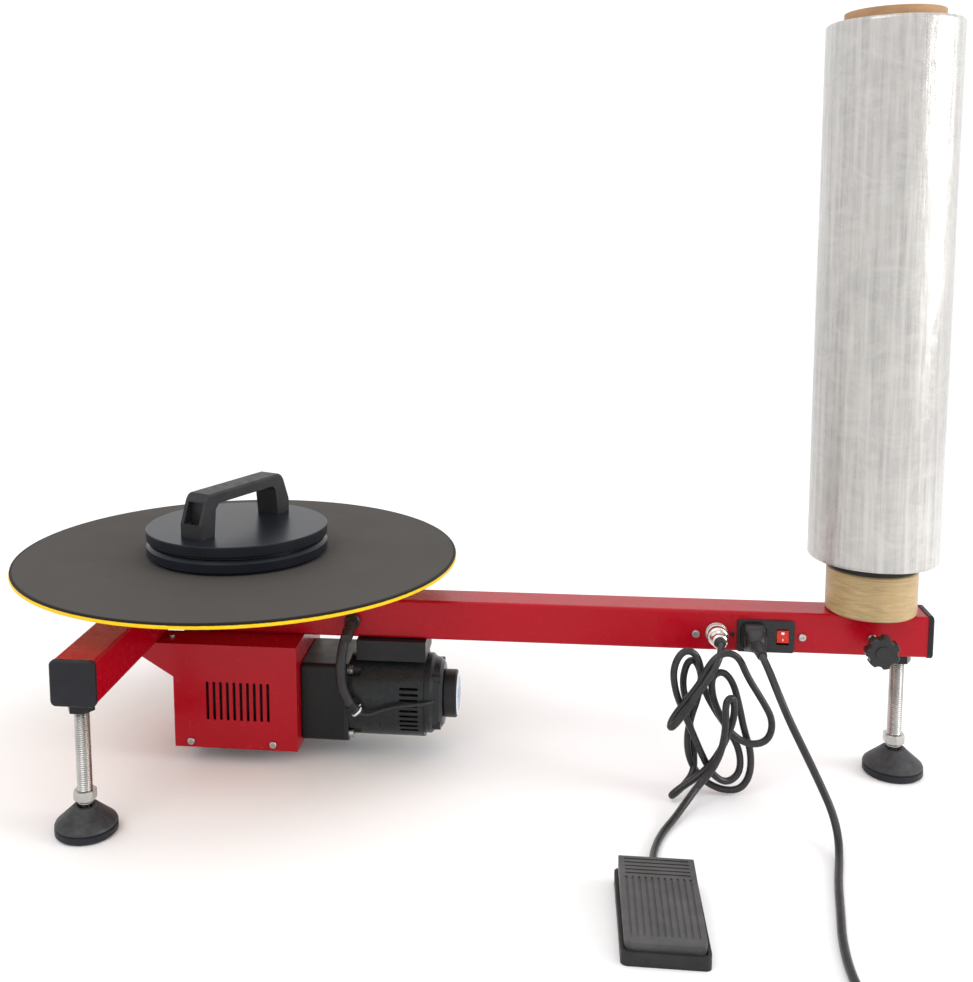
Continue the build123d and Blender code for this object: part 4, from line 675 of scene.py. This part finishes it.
class WRAPPER_PG_sizes(bpy.types.PropertyGroup):
    """Sizes of the fittings that Blender adds."""

    pedal_cord: FloatProperty(name="Pedal cord", description="Diameter of the pedal's cord", default=6.6 * MM,
                              min=0.004, max=0.010, unit="LENGTH")
    mains_cord: FloatProperty(name="Mains cord", description="Diameter of the mains cord", default=7.0 * MM,
                              min=0.005, max=0.010, unit="LENGTH")
    coil_turns: FloatProperty(name="Coil turns", description="Turns of mains cord put away in the coil",
                              default=5.17, min=2.17, max=5.17)
    film_wrinkle: FloatProperty(name="Film wrinkles", description="Height of the wrinkles on the film roll",
                                default=0.35 * MM, min=0.0, max=0.001, unit="LENGTH")
    stud_pitch: FloatProperty(name="Stud pitch", description="Thread pitch of the levelling studs",
                              default=2.0 * MM, min=0.001, max=0.003, unit="LENGTH")
    light: FloatProperty(name="Key light", description="Power of the large soft light", default=12.0,
                         min=0.0, max=1000.0, unit="POWER")
    sky: FloatProperty(name="Surround", description="Brightness of the white surround", default=1.08,
                       min=0.0, max=5.0)
    knurl_teeth: IntProperty(name="Knurl teeth", description="Teeth round the connector's knurled ring",
                              default=36, min=12, max=80)


class WrapperStep:
    """What all the wrapper's operators share."""

    bl_options = {"REGISTER", "UNDO"}


# ================================================================ stage
class WRAPPER_OT_stage(WrapperStep, bpy.types.Operator):
    """Lay the floor and set up the lights, the surround and the camera"""

    bl_idname = "wrapper.stage"
    bl_label = "Stage"

    def execute(self, context):
        scene = context.scene
        reach = 30.0
        mesh = bpy.data.meshes.new("studio_floor")
        mesh.from_pydata([(-reach, -reach, 0), (reach, -reach, 0), (reach, reach, 0), (-reach, reach, 0)], [],
                         [(0, 1, 2, 3)])
        mesh.materials.append(kept(floor_finish))
        floor = bpy.data.objects.new("studio_floor", mesh)
        floor.location.z = -0.2 * MM
        scene.collection.objects.link(floor)

        world = bpy.data.worlds.new("white_surround")
        world.use_nodes = True
        sky = world.node_tree.nodes["Background"]
        sky.inputs["Color"].default_value = (1, 1, 1, 1)
        sky.inputs["Strength"].default_value = sizes().sky
        scene.world = world
        scene.view_settings.view_transform = "Standard"

        aim = Vector((0.05, 0.05, 0.25))
        for name, place, size, share in (
            ("key_softbox", (-0.9, -1.5, 2.2), 1.4, 1.0),
            ("top_softbox", (0.5, 0.3, 2.6), 1.6, 0.5),
            ("side_softbox", (1.75, -0.35, 0.75), 0.9, 1.1),
        ):
            lamp = bpy.data.lights.new(name, "AREA")
            lamp.shape = "DISK"
            lamp.size = size
            lamp.energy = sizes().light * share
            holder = bpy.data.objects.new(name, lamp)
            holder.matrix_world = facing(Vector(place), Vector(place) - aim)
            scene.collection.objects.link(holder)

        scene.camera = self.camera()
        scene.collection.objects.link(scene.camera)
        return {"FINISHED"}

    def camera(self):
        """A camera at sitting height in front of the beam, aimed a little down and to the left."""
        yaw, pitch, roll = -0.129, 0.125, -0.008
        stand = (0.09905, -1.10096, 0.54162)
        ahead = Vector((math.sin(yaw) * math.cos(pitch), math.cos(yaw) * math.cos(pitch), -math.sin(pitch)))
        right = Vector((math.cos(yaw), -math.sin(yaw), 0))
        up = right.cross(ahead)
        tilted_right = math.cos(roll) * right + math.sin(roll) * up
        tilted_up = math.cos(roll) * up - math.sin(roll) * right
        lens = bpy.data.cameras.new("camera")
        lens.sensor_fit = "AUTO"
        lens.sensor_width = 36.0
        lens.lens = 43.31
        lens.shift_x = 0.078
        lens.shift_y = -0.123
        lens.clip_end = 100.0
        camera = bpy.data.objects.new("camera", lens)
        turn = Matrix((tilted_right, tilted_up, -ahead)).transposed().to_4x4()
        camera.matrix_world = Matrix.Translation(stand) @ turn
        return camera


# ================================================================ frame and drive
class WRAPPER_OT_tube_frame(WrapperStep, bpy.types.Operator):
    """Paint the T-shaped tube frame and finish its end caps"""

    bl_idname = "wrapper.tube_frame"
    bl_label = "Tube frame"

    def execute(self, context):
        coat(kept(red_paint), "main_beam", "crossbar", "bearing_tube")
        coat(kept(moulded_plastic, "end_cap_black", (0.0085, 0.009, 0.0125), 0.42, 700, 0.05),
             "tube_end_caps")
        return {"FINISHED"}


class WRAPPER_OT_levelling_feet(WrapperStep, bpy.types.Operator):
    """Cut the threads of the three levelling studs and finish their swivel pads"""

    bl_idname = "wrapper.levelling_feet"
    bl_label = "Levelling feet"

    def execute(self, context):
        up = (0, 0, 1)
        nut_low, nut_height = 31.0, 9.0
        ball = [(0, 11.2), (3.3, 12.3), (5.1, 14.2), (5.8, 17), (5.1, 19.9), (3.9, 21.5), (3.9, 26.6),
                (6.0, 27.6), (6.9, 28.2), (6.9, 29.0), (6.0, 29.6), (4.6, 30), (4.6, 31.4), (0, 31.4)]
        for foot in FEET:
            centre, top = middle(foot + "_stud"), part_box(foot + "_stud")[1].z
            leg = foot + "_leg"
            foot_point = Vector((centre.x, centre.y, 0))
            thread_start = nut_low + nut_height - 1
            rod = threaded_rod(
                foot + "_threaded_stud", 7.0, top / MM - thread_start, sizes().stud_pitch / MM, 1.1,
                in_mm(foot_point + Vector((0, 0, thread_start * MM)), up), steel(), leg)
            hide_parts(foot + "_stud")
            hexagon(foot + "_stud_hexagon", 18.0, nut_height,
                    in_mm(foot_point + Vector((0, 0, nut_low * MM)), up), steel(), leg)
            turned(foot + "_stud_ball", ball, in_mm(foot_point, up), steel(), leg)
            coat(kept(pad_rubber), foot + "_pad")
        return {"FINISHED"}


class WRAPPER_OT_drive(WrapperStep, bpy.types.Operator):
    """Finish the cover, gearhead and motor, with the conduit's tie and the cap's blank disc"""

    bl_idname = "wrapper.drive"
    bl_label = "Drive"

    def execute(self, context):
        coat(kept(cover_paint), "drive_cover", "gear_bracket")
        coat(kept(cast_black, "gearhead_black", 0.36, 0.75), "gearhead_case")
        coat(kept(cast_black, "motor_black", 0.3, 1.6), "motor_housing", "motor_end_bell")
        coat(kept(moulded_plastic, "motor_cap_black", (0.012, 0.012, 0.013), 0.4), "motor_cap",
             "terminal_box")
        coat(steel(), "gearhead_bolts", "case_screws", "hub_screws")
        coat(kept(laminated_iron), "motor_stator")
        turned_metal = kept(bright_metal, "machined_steel", (0.5, 0.5, 0.51), 0.3, (1, 1, 1))
        coat(turned_metal, "spindle", "bevel_gear", "bevel_pinion", "output_shaft", "idler_gear",
             "motor_rotor", "spindle_bearings")
        face = middle("motor_cap")
        face.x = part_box("motor_cap")[1].x
        turned("motor_cap_disc", [(0, -1.2), (22.2, -1.2), (22.2, 0.5), (21.6, 1.0), (17.4, 1.1), (16.9, 0.8),
                                  (6, 0.9), (5.4, 1.2), (0, 1.2)],
               in_mm(face, (1, 0, 0)), kept(cap_disc), "frame")
        coat(kept(cord_jacket, "conduit_black", 0.42), "cable_conduit", "motor_lead")
        self.painted_shade_sheet()
        tie_at = spot(131.2, -50.0, 58.7)
        along = Vector((9, 2.5, -11))
        band("conduit_tape", 5.05, 7.0, 0.5, in_mm(tie_at + along.normalized() * -7 * MM, along),
             kept(moulded_plastic, "tape_black", (0.012, 0.012, 0.013), 0.5), "frame")
        band("conduit_tie", 5.1, 1.8, 0.8, in_mm(tie_at, along), kept(tie_plastic), "frame")
        shrink = spot(123.6, -36.5, 140.2)
        turned("conduit_elbow", [(5.05, 0), (6.0, 0.6), (6.2, 3), (5.7, 9), (5.7, 15), (5.3, 17), (5.05, 17.2)],
               in_mm(shrink, (-1, -10, -4)), kept(cord_jacket, "elbow_black", 0.34), "frame", 32)
        return {"FINISHED"}

    def painted_shade_sheet(self):
        """A folded black sheet inside the cover, behind its louvres: painted shade, standing for the dark inside
        seen through them.
        """
        low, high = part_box("drive_cover")
        back = low.y + 12.5 * MM
        left, right = spot(-50, 0, 0).x, high.x - 3.5 * MM
        bottom, top = low.z + 3 * MM, low.z + 76 * MM
        fold, thick = 6 * MM, 0.8 * MM
        outline = [(left, back + fold), (left + thick, back + thick), (right - thick, back + thick),
                   (right, back + fold), (right - thick, back + fold), (right - thick * 1.6, back + thick * 2),
                   (left + thick * 1.6, back + thick * 2), (left + thick, back + fold)]
        rings = [[Vector((x, y, z)) for x, y in outline] for z in (bottom, top)]
        verts, faces = rings_mesh(rings)
        # painted shade: a black sheet behind the louvres
        new_piece("louvre_painted_shade_sheet", verts, faces,
                  kept(moulded_plastic, "shield_black", (0.008, 0.008, 0.009), 0.6), "frame",
                  crease=20)


# ================================================================ turntable and hold-down plate
class WRAPPER_OT_turntable(WrapperStep, bpy.types.Operator):
    """Finish the turntable board, with its yellow edge, and the mat on it"""

    bl_idname = "wrapper.turntable"
    bl_label = "Turntable"

    def execute(self, context):
        coat(kept(board_edge), "turntable_board")
        coat(kept(mat_rubber), "turntable_mat")
        return {"FINISHED"}


class WRAPPER_OT_hold_down(WrapperStep, bpy.types.Operator):
    """Finish the hold-down plate's two discs and its handle, and lay a black ring of painted shadow between the
    discs
    """

    bl_idname = "wrapper.hold_down"
    bl_label = "Hold-down plate"

    def execute(self, context):
        coat(kept(press_black), "press_lower_disc", "press_upper_disc")
        coat(kept(moulded_plastic, "handle_black", (0.02, 0.02, 0.022), 0.46, 650, 0.09), "press_handle")
        coat(kept(bright_metal, "plate_bearing_steel", (0.6, 0.6, 0.6), 0.28), "press_bearing")
        plate_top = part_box("press_upper_disc")[1].z
        # a black ring of painted shadow in the gap under the upper disc
        turned("hold_down_shadow_ring", [(84, -2.7), (86.4, -2.7), (86.4, -0.2), (84, -0.2)],
               in_mm(Vector((TABLE.x, TABLE.y, plate_top - 11.3 * MM)), (0, 0, 1)),
               kept(gloss_black, "gasket_black"), "press_top", 96)
        return {"FINISHED"}


# ================================================================ film post
class WRAPPER_OT_film_post(WrapperStep, bpy.types.Operator):
    """Finish the post, its wooden collar and ring, and thread the clamp screw with its star knob"""

    bl_idname = "wrapper.film_post"
    bl_label = "Film post"

    def execute(self, context):
        coat(kept(bright_metal, "post_steel", (0.6, 0.6, 0.59), 0.24, (1, 1, 0.1)), "mandrel_post")
        coat(kept(pale_wood), "wood_collar")
        coat(kept(moulded_plastic, "ring_rubber_black", (0.01, 0.01, 0.011), 0.5), "thrust_ring")
        coat(kept(nylon), "core_hubs")
        low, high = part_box("clamp_screw")
        centre = (low + high) / 2
        rod = threaded_rod("clamp_threaded_shank", 4.0, (high.y - low.y) / MM, 1.25, 0.7,
                           in_mm(Vector((centre.x, high.y, centre.z)), (0, -1, 0)), steel(), "clamp")
        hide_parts("clamp_screw")
        coat(kept(gloss_black, "star_knob_black"), "star_knob")
        return {"FINISHED"}


def film_reach(angle, height):
    """How far the film's skin stands in or out at an angle and height, as a share of the wrinkle."""
    round_place = Vector((math.cos(angle), math.sin(angle), 0))
    bands = noise.noise(round_place * 3.1 + Vector((0, 0, height * 2.0)))
    crepe = noise.noise(round_place * 11 + Vector((5, 0, height * 60)))
    slack = noise.noise(round_place * 26 + Vector((0, 9, height * 22 + 2 * angle)))
    return bands + 0.55 * crepe + 0.4 * slack - 0.8


class WRAPPER_OT_film_roll(WrapperStep, bpy.types.Operator):
    """Wind the film roll, with its wrinkled skin and layered ends, on its board core"""

    bl_idname = "wrapper.film_roll"
    bl_label = "Film roll"

    def execute(self, context):
        coat(kept(kraft_board), "film_core")
        low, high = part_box("film_roll")
        sides, rows = 220, 300
        wrinkle = sizes().film_wrinkle
        rings = self.end_layers(low.z, 1, 2.4, sides)
        for row in range(rows + 1):
            height = low.z + (high.z - low.z) * row / rows
            edge = min(row, rows - row)
            tuck = 1.2 * MM if edge == 0 else 0.0
            rings.append(self.ring(FILM_RADIUS - tuck, height, sides, wrinkle))
        rings += reversed(self.end_layers(high.z, -1, 1.9, sides))
        verts, faces = rings_mesh(rings, closed_ends=False)
        last = (len(rings) - 1) * sides
        for side in range(sides):
            after = (side + 1) % sides
            faces.append((last + side, last + after, after, side))
        film = new_piece("wound_film", verts, faces, kept(stretch_film), "film", crease=60)
        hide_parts("film_roll")
        return {"FINISHED"}

    def end_layers(self, end, inward, beat, sides):
        """Rings across one end of the roll from the core out, each sunk a little by its own amount."""
        layers = 14
        inner, span = CORE_RADIUS + 0.1 * MM, FILM_RADIUS - 2.2 * MM - CORE_RADIUS
        return [self.ring(inner + span * (layer / layers),
                          end + inward * (0.5 * MM * (0.5 + 0.5 * math.sin(layer * beat))), sides, 0.0)
                for layer in range(layers + 1)]

    def ring(self, radius, height, sides, wrinkle):
        points = []
        for side in range(sides):
            angle = math.tau * side / sides
            reach = radius + wrinkle * film_reach(angle, height)
            points.append((ROLL.x + reach * math.cos(angle), ROLL.y + reach * math.sin(angle), height))
        return points


# ================================================================ fittings on the beam's front
class WRAPPER_OT_panel_fittings(WrapperStep, bpy.types.Operator):
    """Finish the inlet, its rocker and the pedal's socket, and put the marks on the rocker"""

    bl_idname = "wrapper.panel_fittings"
    bl_label = "Panel fittings"

    def execute(self, context):
        coat(kept(gloss_black, "inlet_black"), "inlet_module")
        coat(kept(rocker_plastic), "rocker_switch")
        coat(kept(bright_metal, "socket_nickel", (0.74, 0.72, 0.69), 0.2), "pedal_socket")
        coat(kept(circuit_board), "control_board")
        hinge = spot(544.3, -15.5, 141.1)
        tilt = Matrix.Translation(hinge) @ Matrix.Rotation(math.radians(-5.5), 4, "X")
        face, mark_height = -7.75 * MM, 3.3 * MM
        upper = tilt @ Matrix.Translation((0, face, mark_height))
        lower = tilt @ Matrix.Translation((0, face, -mark_height))
        turned("rocker_ring_mark", [(1.0, -0.2), (1.5, -0.2), (1.5, 0.25), (1.0, 0.25)],
               in_mm(upper.translation, upper.to_3x3() @ Vector((0, -1, 0))), kept(mark_white), "rocker",
               28)
        turned("rocker_bar_mark", [(0.45, -0.2), (0.45, 0.25), (0.3, 0.3)],
               in_mm(lower.translation, lower.to_3x3() @ Vector((0, -1, 0))) @ Matrix.Diagonal((1, 3.4, 1, 1)),
               kept(mark_white), "rocker", 20)
        turned("panel_plug", [(2.2, 0.05), (2.0, 0.6), (1.4, 0.9), (0, 1.0)],
               in_mm(Vector((spot(BLANKING_PLUG_ALONG, 0, 0).x, BEAM_FRONT, 141.6 * MM)), (0, -1, 0)),
               kept(moulded_plastic, "panel_plug_black", (0.01, 0.01, 0.01), 0.4), "frame", 24)
        return {"FINISHED"}


# ================================================================ foot pedal and its cord
class WRAPPER_OT_foot_pedal(WrapperStep, bpy.types.Operator):
    """Finish the foot pedal's base, treadle and hinge, and wind its spring"""

    bl_idname = "wrapper.foot_pedal"
    bl_label = "Foot pedal"

    def execute(self, context):
        coat(kept(pedal_plastic), "pedal_treadle")
        coat(kept(moulded_plastic, "pedal_base_black", (0.02, 0.02, 0.021), 0.5), "pedal_base", "pedal_switch")
        coat(steel(), "pedal_pin")
        self.return_spring()
        return {"FINISHED"}

    def return_spring(self):
        """A coil spring under the treadle."""
        low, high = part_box("pedal_spring")
        centre = (low + high) / 2
        wire = 0.6 * MM
        coil = (high.x - low.x) / 2 - wire
        rise = high.z - low.z - 2 * wire
        turns, steps, sides = 4, 20, 8
        rings = []
        for step in range(turns * steps + 1):
            share = step / (turns * steps)
            angle = math.tau * turns * share
            outward = Vector((math.cos(angle), math.sin(angle), 0))
            heart = Vector((centre.x, centre.y, low.z + wire + rise * share)) + outward * coil
            rings.append([heart + (outward * math.cos(math.tau * side / sides)
                                   + Vector((0, 0, math.sin(math.tau * side / sides)))) * wire
                          for side in range(sides)])
        verts, faces = rings_mesh(rings)
        spring = new_piece("return_spring", verts, faces, steel(), "frame", crease=60)
        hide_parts("pedal_spring")
        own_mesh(spring)


# the pedal cord's route in millimetres along, in depth and in height from the turntable's axis
PLUG_EXIT = (CONNECTOR_ALONG, -56, 143)
FIRST_WRAP = [
    PLUG_EXIT, (481, -66, 141), (476, -77, 131), (461, -85, 110), (448, -88, 91), (438, -89, 77),
    (433, -85, 71), (436, -80, 79), (450, -78, 98), (462, -76, 114), (471, -73, 133),
]
RIGHT_LOOP = [
    (484, -70, 142), (497, -68, 137), (505, -70, 118), (518, -72, 98), (529, -73, 78), (525, -73, 58),
    (508, -73, 53), (491, -73, 63), (480, -72, 81), (473, -71, 99), (472, -70, 118), (483, -66, 122),
]
OUTER_TURN = [
    (493, -63, 110), (499, -63, 88), (504, -63, 64), (511, -63, 43), (511, -65, 21), (502, -67, 6),
    (485, -68, 5), (468, -66, 12), (455, -65, 29), (451, -65, 50), (454, -65, 73), (461, -65, 95),
    (464, -66, 120), (458, -67, 139), (445, -70, 142), (436, -73, 125), (439, -73, 102), (447, -73, 83),
    (456, -74, 62), (465, -75, 41),
]
INNER_TURN = [
    (475, -74, 22), (489, -70, 13), (502, -64, 22), (501, -60, 43), (490, -58, 62), (476, -58, 82),
    (466, -58, 102), (461, -59, 127), (451, -61, 130), (446, -60, 107), (452, -59, 82), (456, -59, 57),
    (459, -61, 36),
]
LOWER_FOLD = [
    (458, -68, 21), (447, -78, 11), (436, -84, 4), (437, -87, 8), (446, -85, 15), (462, -80, 24), (476, -79, 40),
    (486, -79, 61), (493, -79, 84), (491, -82, 104), (483, -86, 100), (484, -88, 78), (481, -87, 53),
]
PEDAL_TAIL = [
    (472, -88, 33), (460, -91, 20), (447, -108, 11), (435, -128, 5.2), (422, -152, 3.6), (413, -181, 3.8),
    (410, -205, 5.2), (410, -226, 6.2),
]


class WRAPPER_OT_pedal_cord(WrapperStep, bpy.types.Operator):
    """Lay the pedal's cord in its hanging hank, with its knurled connector"""

    bl_idname = "wrapper.pedal_cord"
    bl_label = "Pedal cord"

    def execute(self, context):
        nickel = kept(bright_metal, "connector_nickel", (0.78, 0.75, 0.7), 0.18)
        front = Vector((spot(CONNECTOR_ALONG, 0, 0).x, BEAM_FRONT, PLUG_EXIT[2] * MM))
        teeth = sizes().knurl_teeth

        def knurl(angle, height):
            return 0.22 * math.cos(teeth * angle) if 3.5 < height < 15.5 and abs(height - 7.3) > 1 else 0.0

        shell = turned(
            "connector_shell",
            [(7.3, 3), (9.2, 3), (9.6, 3.6), (9.6, 5.8), (8.6, 6.3), (8.6, 8.3), (9.6, 8.8), (9.6, 14.6),
             (8.9, 15.4), (8.2, 16), (8.4, 17), (8.4, 19.5), (7.6, 20.5), (7.0, 21.5), (7.2, 22.5), (7.2, 27.5),
             (6.2, 28.6), (5.6, 29), (0, 29)],
            in_mm(front, (0, -1, 0)), nickel, "frame", 108, knurl)
        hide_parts("pedal_plug")
        boot = turned("connector_boot",
                      [(5.6, 28.8), (5.6, 30), (4.7, 30.4), (5.2, 31.2), (4.5, 31.8), (4.9, 32.6), (4.2, 33.4),
                       (4.5, 34.2), (3.7, 35.6), (0, 36)],
                      in_mm(front, (0, -1, 0)), kept(cord_jacket, "boot_black", 0.4), "frame", 40)
        route = FIRST_WRAP + RIGHT_LOOP + OUTER_TURN + INNER_TURN + LOWER_FOLD + PEDAL_TAIL
        points = [spot(*place) for place in route]
        cord = cord_curve("pedal_cord", points, sizes().pedal_cord, kept(cord_jacket, "pedal_cord_black", 0.3),
                          "frame")
        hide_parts("pedal_cord_hank", "pedal_cord_tail")
        return {"FINISHED"}


# ================================================================ mains cord
# the middle of the mains cord's coil and its route to the coil, in millimetres
COIL_CENTRE = (498.5, -418)
MAINS_ROUTE = [
    (INLET_ALONG, -75, 140.1), (519, -95, 136.6), (524, -113, 123.1), (534, -122, 99.1), (548, -124, 71),
    (561, -127, 44), (570, -136, 24), (572, -153, 10), (567, -180, 3.7), (558, -217, 3.6),
    (551, -256, 3.6), (543, -298, 3.6), (540, -339, 3.6), (544, -380, 3.6),
]


class WRAPPER_OT_mains_cord(WrapperStep, bpy.types.Operator):
    """Lay the mains cord to its tied coil, with the ribbed inlet plug and the wall plug"""

    bl_idname = "wrapper.mains_cord"
    bl_label = "Mains cord"

    def execute(self, context):
        rubber = kept(cord_jacket, "mains_cord_black", 0.34)
        inlet = self.inlet_plug()
        wall = self.wall_plug()
        points = [spot(*place) for place in MAINS_ROUTE] + self.coil()
        cord = cord_curve("mains_cord_run", points, sizes().mains_cord, rubber, "frame")
        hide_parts("mains_cord", "mains_coil")
        tie_at = in_mm(spot(COIL_CENTRE[0] + 38.5, COIL_CENTRE[1], 7.9), (0, 1, 0))
        tie = band("mains_coil_tie", 12.2, 8.0, 0.8, tie_at @ Matrix.Diagonal((1, 0.6, 1, 1)),
                   kept(moulded_plastic, "coil_tie_black", (0.02, 0.02, 0.02), 0.5), "frame")
        return {"FINISHED"}

    def coil(self):
        """Turns wound clockwise from above, three on the floor going in and the rest on top going out.

        Each turn keeps its radius and moves over to the next one's in its last sixth.
        """
        per_turn = 18
        floor, top = 3.6, 10.6
        lanes = [(45.0, floor), (38.4, floor), (31.8, floor), (31.8, top), (38.4, top), (45.0, top)]
        stretch = 1 / math.cos(math.pi / per_turn)
        points = []
        for step in range(int(sizes().coil_turns * per_turn) + 1):
            lane = min(step // per_turn, len(lanes) - 1)
            after = min(lane + 1, len(lanes) - 1)
            shift = max(0.0, (step / per_turn % 1 - 5 / 6) * 6)
            radius = lanes[lane][0] + (lanes[after][0] - lanes[lane][0]) * shift
            height = lanes[lane][1] + (lanes[after][1] - lanes[lane][1]) * shift
            angle = -math.tau * step / per_turn
            points.append(spot(COIL_CENTRE[0] + radius * stretch * math.cos(angle),
                               COIL_CENTRE[1] + radius * stretch * math.sin(angle), height))
        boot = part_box("mains_plug")[1].x
        lie = middle("mains_plug").y
        points.append(Vector((boot + 18 * MM, lie + 3.6 * MM, 12.0 * MM)))
        points.append(Vector((boot + 6 * MM, lie, 14 * MM)))
        points.append(Vector((boot - 3 * MM, lie, 14 * MM)))
        return points

    def inlet_plug(self):
        black = kept(cord_jacket, "inlet_plug_black", 0.38)
        place = Matrix.Translation((spot(INLET_ALONG, 0, 0).x, BEAM_FRONT, 141.1 * MM))
        place = place @ Matrix.Rotation(math.pi / 2, 4, "X") @ Matrix.Scale(MM, 4)
        body = rounded_loft("inlet_plug_body", [
            (11.8, 8.0, 1.8, -9.4, 0), (11.8, 8.0, 1.8, 2.6, 0), (9.4, 12.2, 3, 2.7, 0), (10, 13, 3, 3.6, 0),
            (10, 13, 3, 10.0, 0), (9.6, 12.4, 3.5, 12.5, -0.1), (9.2, 11.2, 4, 14.0, -0.2),
            (8.9, 10.6, 4, 14.8, -0.2), (8.7, 10.4, 4, 17, -0.4), (7.8, 8.8, 4, 21.5, -0.7),
            (6.6, 7.2, 5, 26, -1), (6.0, 6.2, 5.8, 27.2, -1), (0.5, 0.5, 0.4, 27.4, -1),
        ], place, black, "frame")
        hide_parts("inlet_plug")
        ribs = [(5.0, 0)]
        for rib in range(7):
            start = 0.4 + 3.9 * rib
            reach = 6.4 - 0.27 * rib
            ribs += [(reach, start), (reach, start + 2.3), (reach - 1.3, start + 2.7),
                     (reach - 1.3, start + 3.7)]
        ribs += [(4.0, 27.9), (0, 28.0)]
        start_point = Vector((spot(INLET_ALONG, 0, 0).x, BEAM_FRONT - 26.8 * MM, 140.1 * MM))
        boot = turned("inlet_plug_boot", ribs, in_mm(start_point, (0, -1, 0)), black, "frame", 40)
        grip = []
        for side in (-1, 1):
            for rib in range(4):
                centre = start_point + Vector((side * 9.3 * MM, (20.6 - 3.0 * rib) * MM, 0.4 * MM))
                grip.append(turned(
                    f"inlet_plug_grip_{'l' if side < 0 else 'r'}{rib}",
                    [(0.9, -5.2), (1.0, -4.6), (1.0, 4.6), (0.9, 5.2)], in_mm(centre, (0, 0, 1)), black, "frame",
                    14))
        return [body, boot, *grip]

    def wall_plug(self):
        black = kept(cord_jacket, "wall_plug_black", 0.4)
        end = Vector((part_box("mains_plug")[1].x, middle("mains_plug").y, 14 * MM))
        outline = [(4.0, 0), (4.9, 0.2)]
        for rib in range(5):
            start = 1.0 + 3.8 * rib
            reach = 4.6 + 0.22 * rib
            outline += [(reach, start), (reach, start + 2.2), (reach - 0.9, start + 2.5),
                        (reach - 0.9, start + 3.5)]
        outline += [(5.8, 21.5), (8, 25), (10, 28), (12.8, 33), (13.9, 37), (13.9, 56), (13.2, 57.6), (12.2, 58),
                    (0, 58)]

        def flutes(angle, height):
            return -0.5 * (0.5 + 0.5 * math.cos(18 * angle)) if 37.5 < height < 55 else 0.0

        body = turned("wall_plug_body", outline, in_mm(end, (-1, 0, 0)), black, "frame", 56,
                      flutes)
        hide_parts("mains_plug")
        pins = []
        for name, side in (("near", -9.5), ("far", 9.5)):
            root = end + Vector((-58 * MM, side * MM, 0))
            pins.append(turned("wall_plug_pin_" + name,
                               [(2.35, -1), (2.35, 16.4), (2.0, 18.2), (1.2, 19), (0, 19)],
                               in_mm(root, (-1, 0, 0)), steel(), "frame", 24))
            pins.append(turned("wall_plug_sleeve_" + name, [(2.42, -0.5), (2.42, 8.2), (2.34, 8.8)],
                               in_mm(root, (-1, 0, 0)), black, "frame", 24))
        return [body, *pins]


# ================================================================ panel, registration and running
STEPS = (
    WRAPPER_OT_stage, WRAPPER_OT_tube_frame, WRAPPER_OT_levelling_feet, WRAPPER_OT_drive, WRAPPER_OT_turntable,
    WRAPPER_OT_hold_down, WRAPPER_OT_film_post, WRAPPER_OT_film_roll, WRAPPER_OT_panel_fittings,
    WRAPPER_OT_foot_pedal, WRAPPER_OT_pedal_cord, WRAPPER_OT_mains_cord,
)


class WRAPPER_PT_steps(bpy.types.Panel):
    """Settings and steps of the stretch wrapper"""

    bl_idname = "WRAPPER_PT_steps"
    bl_label = "Stretch wrapper"
    bl_space_type = "VIEW_3D"
    bl_region_type = "UI"
    bl_category = "Wrapper"

    def draw(self, context):
        layout = self.layout
        for group in (context.scene.wrapper_colours, context.scene.wrapper_sizes):
            box = layout.box()
            for name in group.__annotations__:
                box.prop(group, name)
        for step in STEPS:
            layout.operator(step.bl_idname)


CLASSES = (WRAPPER_PG_colours, WRAPPER_PG_sizes, *STEPS, WRAPPER_PT_steps)


def register():
    for cls in CLASSES:
        bpy.utils.register_class(cls)
    bpy.types.Scene.wrapper_colours = PointerProperty(type=WRAPPER_PG_colours)
    bpy.types.Scene.wrapper_sizes = PointerProperty(type=WRAPPER_PG_sizes)


def unregister():
    del bpy.types.Scene.wrapper_sizes
    del bpy.types.Scene.wrapper_colours
    for cls in reversed(CLASSES):
        bpy.utils.unregister_class(cls)


def main():
    register()
    for step in STEPS:
        group, name = step.bl_idname.split(".")
        getattr(getattr(bpy.ops, group), name)()


if __name__ == "__main__":
    main()
